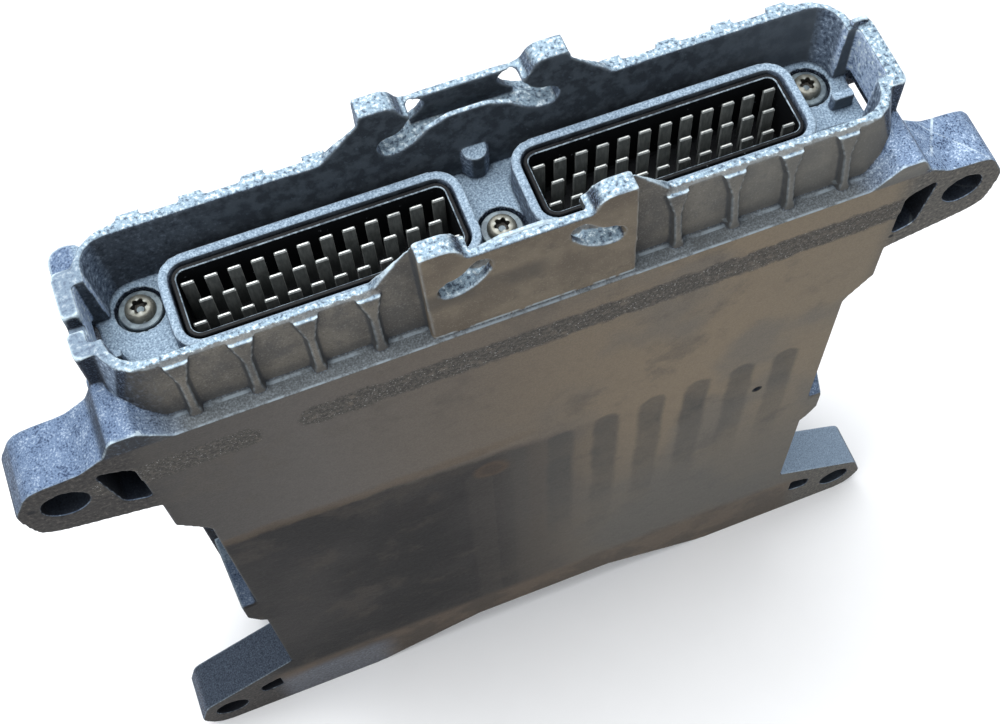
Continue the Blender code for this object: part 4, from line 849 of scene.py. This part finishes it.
def blade(cage, x, y):
    """Flat blade with a chamfered tip; its tip and right narrow face take the second material, a
    painted highlight.
    """
    half, thick, corner = PIN_WIDTH / 2, PIN_THICKNESS / 2, BLADE_CORNER
    levels = [(SOCKET_FLOOR - EMBED, half, thick), (PIN_TIP - BLADE_CHAMFER, half, thick),
              (PIN_TIP - BLADE_BROW, half - BLADE_CHAMFER * 0.5, thick - BLADE_BEVEL),
              (PIN_TIP, half - BLADE_CHAMFER * 0.8, thick - BLADE_BEVEL)]
    rings = []
    for z, u, v in levels:
        outline = [(-u + corner, -v), (u - corner, -v), (u, -v + corner), (u, v - corner),
                   (u - corner, v), (-u + corner, v), (-u, v - corner), (-u, -v + corner)]
        rings.append([cage.verts.new((x + a, y + b, z)) for a, b in outline])
    for number, (lower, upper) in enumerate(zip(rings, rings[1:])):
        for index, face in enumerate(bridge(cage, lower, upper)):
            face.material_index = 1 if number == 2 or index in (1, 2) else 0
    cage.faces.new(list(reversed(rings[0])))
    cage.faces.new(rings[-1]).material_index = 1


def tail(cage, x, y, row):
    """Bent tail below the header, down and forward to the board."""
    half, thick = TAIL_WIDTH / 2, TAIL_THICKNESS / 2
    start, bend = HEADER_BOTTOM + EMBED, HEADER_BOTTOM - TAIL_STEP * (row + 2)
    outline = [(y - thick, start), (y - thick, bend), (TAIL_END, bend),
               (TAIL_END, bend - 2 * thick), (y + thick, bend - 2 * thick), (y + thick, start)]
    left = [cage.verts.new((x - half, a, b)) for a, b in outline]
    right = [cage.verts.new((x + half, a, b)) for a, b in outline]
    bridge(cage, left, right)
    cage.faces.new(list(reversed(left)))
    cage.faces.new(right)


def header_blades(side, name, materials):
    cage = bmesh.new()
    for x, y, row in pin_spots():
        blade(cage, side * CONNECTOR_X + x, CONNECTOR_Y + y)
        tail(cage, side * CONNECTOR_X + x, CONNECTOR_Y + y, row)
    piece = new_piece(f"blades_{name}", cage, materials, smooth=False)
    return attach(piece, "root")


def header_flange(side, name, material):
    """Flat frame under the deck that the shell grows out of."""
    cage = bmesh.new()
    centre = (side * CONNECTOR_X, CONNECTOR_Y)
    top = DECK_TOP - DECK_THICKNESS - SEAL_THICKNESS - 2 * SEAL_GAP
    opening = [s - 2 * FLANGE_OVERLAP for s in SHELL_SIZE]
    outside = rounded_rectangle(centre, HEADER_FLANGE, FLANGE_CORNER, 4)
    inside = rounded_rectangle(centre, opening, FLANGE_OPENING_CORNER, 4)
    levels = (top - HEADER_FLANGE_THICKNESS, top)
    rims = [ring(cage, outside, z) for z in levels]
    holes = [ring(cage, inside, z) for z in levels]
    bridge(cage, rims[0], rims[1])
    bridge(cage, holes[1], holes[0])
    bridge(cage, holes[0], rims[0])
    bridge(cage, rims[1], holes[1])
    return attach(new_piece(f"header_flange_{name}", cage, [material]), "root")


# Screws with a six-lobed recess, and their washers

def star(radius, lobes):
    """Six-lobed outline; lobes is the share of the radius that they are deep."""
    points = []
    for index in range(SCREW_SIDES):
        angle = 2 * math.pi * index / SCREW_SIDES
        reach = radius * (1 - lobes * (0.5 + 0.5 * math.cos(6 * angle + math.pi)))
        points.append((reach * math.cos(angle), reach * math.sin(angle)))
    return points


def star_screw(name, spot, top, length, materials):
    """Screw with a domed head; the recess walls take the second material, painted shade, its floor
    the third.
    """
    head, height, shank = SCREW_HEAD_RADIUS, SCREW_HEAD_HEIGHT, SCREW_SHANK_RADIUS
    recess, lobes = head * 0.56, 0.27
    profile = [(shank, -height - length), (shank, -height), (head - 0.0001, -height),
               (head, -height + 0.0001), (head, -height * 0.60), (head * 0.97, -height * 0.42),
               (head * 0.90, -height * 0.20), (head * 0.80, -height * 0.06), (head * 0.68, 0.0)]
    cage = bmesh.new()
    rings = [ring(cage, circle((0.0, 0.0), radius, SCREW_SIDES), z) for radius, z in profile]
    rings.append(ring(cage, star(recess, lobes), -height * 0.02))
    rings.append(ring(cage, star(recess * 0.93, lobes), -height * 0.08))
    rings.append(ring(cage, star(recess * 0.86, lobes), -height * 0.62))
    rings.append(ring(cage, star(recess * 0.42, 0.0), -height * 0.66))
    for number, (lower, upper) in enumerate(zip(rings, rings[1:])):
        for face in bridge(cage, lower, upper):
            face.material_index = 1 if number > len(profile) else 0
    cage.faces.new(list(reversed(rings[0])))
    cage.faces.new(rings[-1]).material_index = 2
    cage.transform(Matrix.Translation((*spot, top)))
    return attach(new_piece(name, cage, materials), "root")


def plain_washer(name, spot, foot, top, material):
    """Turned washer that fills its counterbore."""
    cage = bmesh.new()
    profile = [(WASHER_INNER, foot), (WASHER_OUTER, foot), (WASHER_OUTER, top - WASHER_BEVEL),
               (WASHER_OUTER - WASHER_BEVEL, top), (WASHER_INNER, top)]
    rings = [ring(cage, circle(spot, radius, WASHER_SIDES), z) for radius, z in profile]
    for lower, upper in zip(rings, rings[1:] + rings[:1]):
        bridge(cage, lower, upper)
    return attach(new_piece(name, cage, [material]), "root")


# Build

CAST = cast_aluminium("cast_aluminium")
CAST_COVER = cast_aluminium("cast_cover", edge_wear_and_light=False)
PLATED = plated_steel()
WASHER = washer_steel()
SHEET = sheet_steel()
PLASTIC = black_plastic()
LIP_HIGHLIGHT = lip_highlight()
RUBBER = silicone()
BOARD = board_green()
BLADE = tinned_blade()
BLADE_HIGHLIGHT = blade_highlight()
# Painted shade on the walls of the screws' star recesses.
RECESS_SHADE = plain_kind("recess_shade", (0.010, 0.009, 0.007), (0.045, 0.040, 0.032), 0.4, 0.5, 1500)
CHIP = plain_kind("chip_epoxy", (0.012, 0.012, 0.012), (0.030, 0.030, 0.031), 0.0, 0.45)
CAN = plain_kind("drawn_can", (0.44, 0.45, 0.47), (0.62, 0.63, 0.65), 0.9, 0.22)
COPPER = plain_kind("winding", (0.34, 0.14, 0.05), (0.56, 0.26, 0.10), 0.7, 0.3, 400)
PAD = plain_kind("gap_pad", (0.36, 0.41, 0.52), (0.46, 0.52, 0.62), 0.0, 0.7)

BY_SLOT = {"cast_aluminium": CAST, "sheet_steel": SHEET, "plated_steel": PLATED,
           "black_plastic": PLASTIC, "silicone": RUBBER, "board": BOARD, "chip": CHIP,
           "can": CAN, "coil": COPPER, "pad": PAD}
for part in frame["record"]["subparts"]:
    node = NODES[part["node"]]
    node.data.materials.clear()
    node.data.materials.append(BY_SLOT[part["material_slot"]])

cover = NODES["rear_cover"]
cover.data.materials.clear()
cover.data.materials.append(CAST_COVER)
soft = cover.modifiers.new("soft_edges", "BEVEL")
soft.width = 0.0004
soft.segments = 2
soft.limit_method = "ANGLE"
soft.angle_limit = math.radians(40)

# Pegs beside the end screws and sills in the end drains: low and high corner
DECK_PEGS = [((0.0799, -0.0016, 0.2035), (0.0851, 0.0006, 0.2084)),
             ((-0.0853, -0.0050, 0.2035), (-0.0834, -0.0030, 0.2084))]
DRAIN_SILLS = [((0.0888, -0.0050, 0.2028), (0.0911, 0.0070, 0.2070)),
               ((-0.0911, -0.0050, 0.2028), (-0.0888, 0.0070, 0.2070))]

# Voxel size, smoothing passes and the share of faces kept
FULL_CASTING = (0.00048, 5, 0.115)
casting = softened(NODES["housing"], "casting", DECK_PEGS + DRAIN_SILLS,
                   *FULL_CASTING, CAST)
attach(casting, "root")
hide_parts("housing")

for side, name in ((-1, "left"), (1, "right")):
    shell = header_body(side, name, [PLASTIC, LIP_HIGHLIGHT])
    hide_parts(f"connector_header_{name}")
    header_flange(side, name, PLASTIC)
    header_blades(side, name, [BLADE, BLADE_HIGHLIGHT])

for name, spot in SCREW_SPOTS.items():
    low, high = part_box(f"bay_screw_{name}")
    screw = star_screw(f"star_screw_{name}", spot, high.z, high.z - low.z - SCREW_HEAD_HEIGHT,
                       [PLATED, RECESS_SHADE, WASHER])
    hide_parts(f"bay_screw_{name}")
    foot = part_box(f"bay_washer_{name}")[0].z
    washer = plain_washer(f"turned_washer_{name}", spot, foot, DECK_TOP - WASHER_DROP, WASHER)
    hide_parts(f"bay_washer_{name}")


# Floor, light and camera

def floor():
    cage = bmesh.new()
    bmesh.ops.create_grid(cage, x_segments=1, y_segments=1, size=3.0)
    mesh = bpy.data.meshes.new("floor")
    cage.to_mesh(mesh)
    cage.free()
    ground = bpy.data.objects.new("floor", mesh)
    bpy.context.scene.collection.objects.link(ground)
    m = Finish("floor_paper")
    fibre = m.noise(60, 3, 0.5)
    tint = m.mix(fibre, (0.90, 0.90, 0.90), (0.93, 0.93, 0.93))
    mesh.materials.append(m.set(colour=tint, rough=0.9))


def area_light(name, location, target, size, energy, colour=(1, 1, 1)):
    lamp = bpy.data.lights.new(name, "AREA")
    lamp.shape = "SQUARE"
    lamp.size = size
    lamp.energy = energy
    lamp.color = colour
    holder = bpy.data.objects.new(name, lamp)
    holder.location = location
    way = Vector(target) - Vector(location)
    holder.rotation_euler = way.to_track_quat("-Z", "Y").to_euler()
    bpy.context.scene.collection.objects.link(holder)


MIDDLE = (0.0, 0.0, 0.10)
floor()
area_light("overhead", (-0.15, 0.25, 1.10), MIDDLE, 0.9, 13.0, (0.96, 0.98, 1.0))
area_light("side_fill", (-0.9, -0.6, 0.7), MIDDLE, 0.8, 3.0)

world = bpy.data.worlds.new("studio")
world.use_nodes = True
sky = world.node_tree.nodes["Background"]
sky.inputs["Color"].default_value = (0.95, 0.97, 1.0, 1.0)
sky.inputs["Strength"].default_value = 0.75
bpy.context.scene.world = world

# The camera's place and turn, fitted to the photograph with the real size of the part
lens = bpy.data.cameras.new("camera")
lens.sensor_fit = "HORIZONTAL"
lens.sensor_width = 36.0
lens.lens = 54.1115
lens.shift_x = -0.074178
lens.shift_y = 0.0075605
lens.clip_start = 0.01
eye = bpy.data.objects.new("camera", lens)
eye.matrix_world = Matrix((
    (0.9273352, 0.3321595, -0.1723933, -0.0518182),
    (-0.3740619, 0.8365841, -0.4002559, -0.1643536),
    (0.0112727, 0.4356571, 0.9000421, 0.4836676),
    (0.0, 0.0, 0.0, 1.0)))
bpy.context.scene.collection.objects.link(eye)
bpy.context.scene.camera = eye
bpy.context.scene.view_settings.view_transform = "Standard"
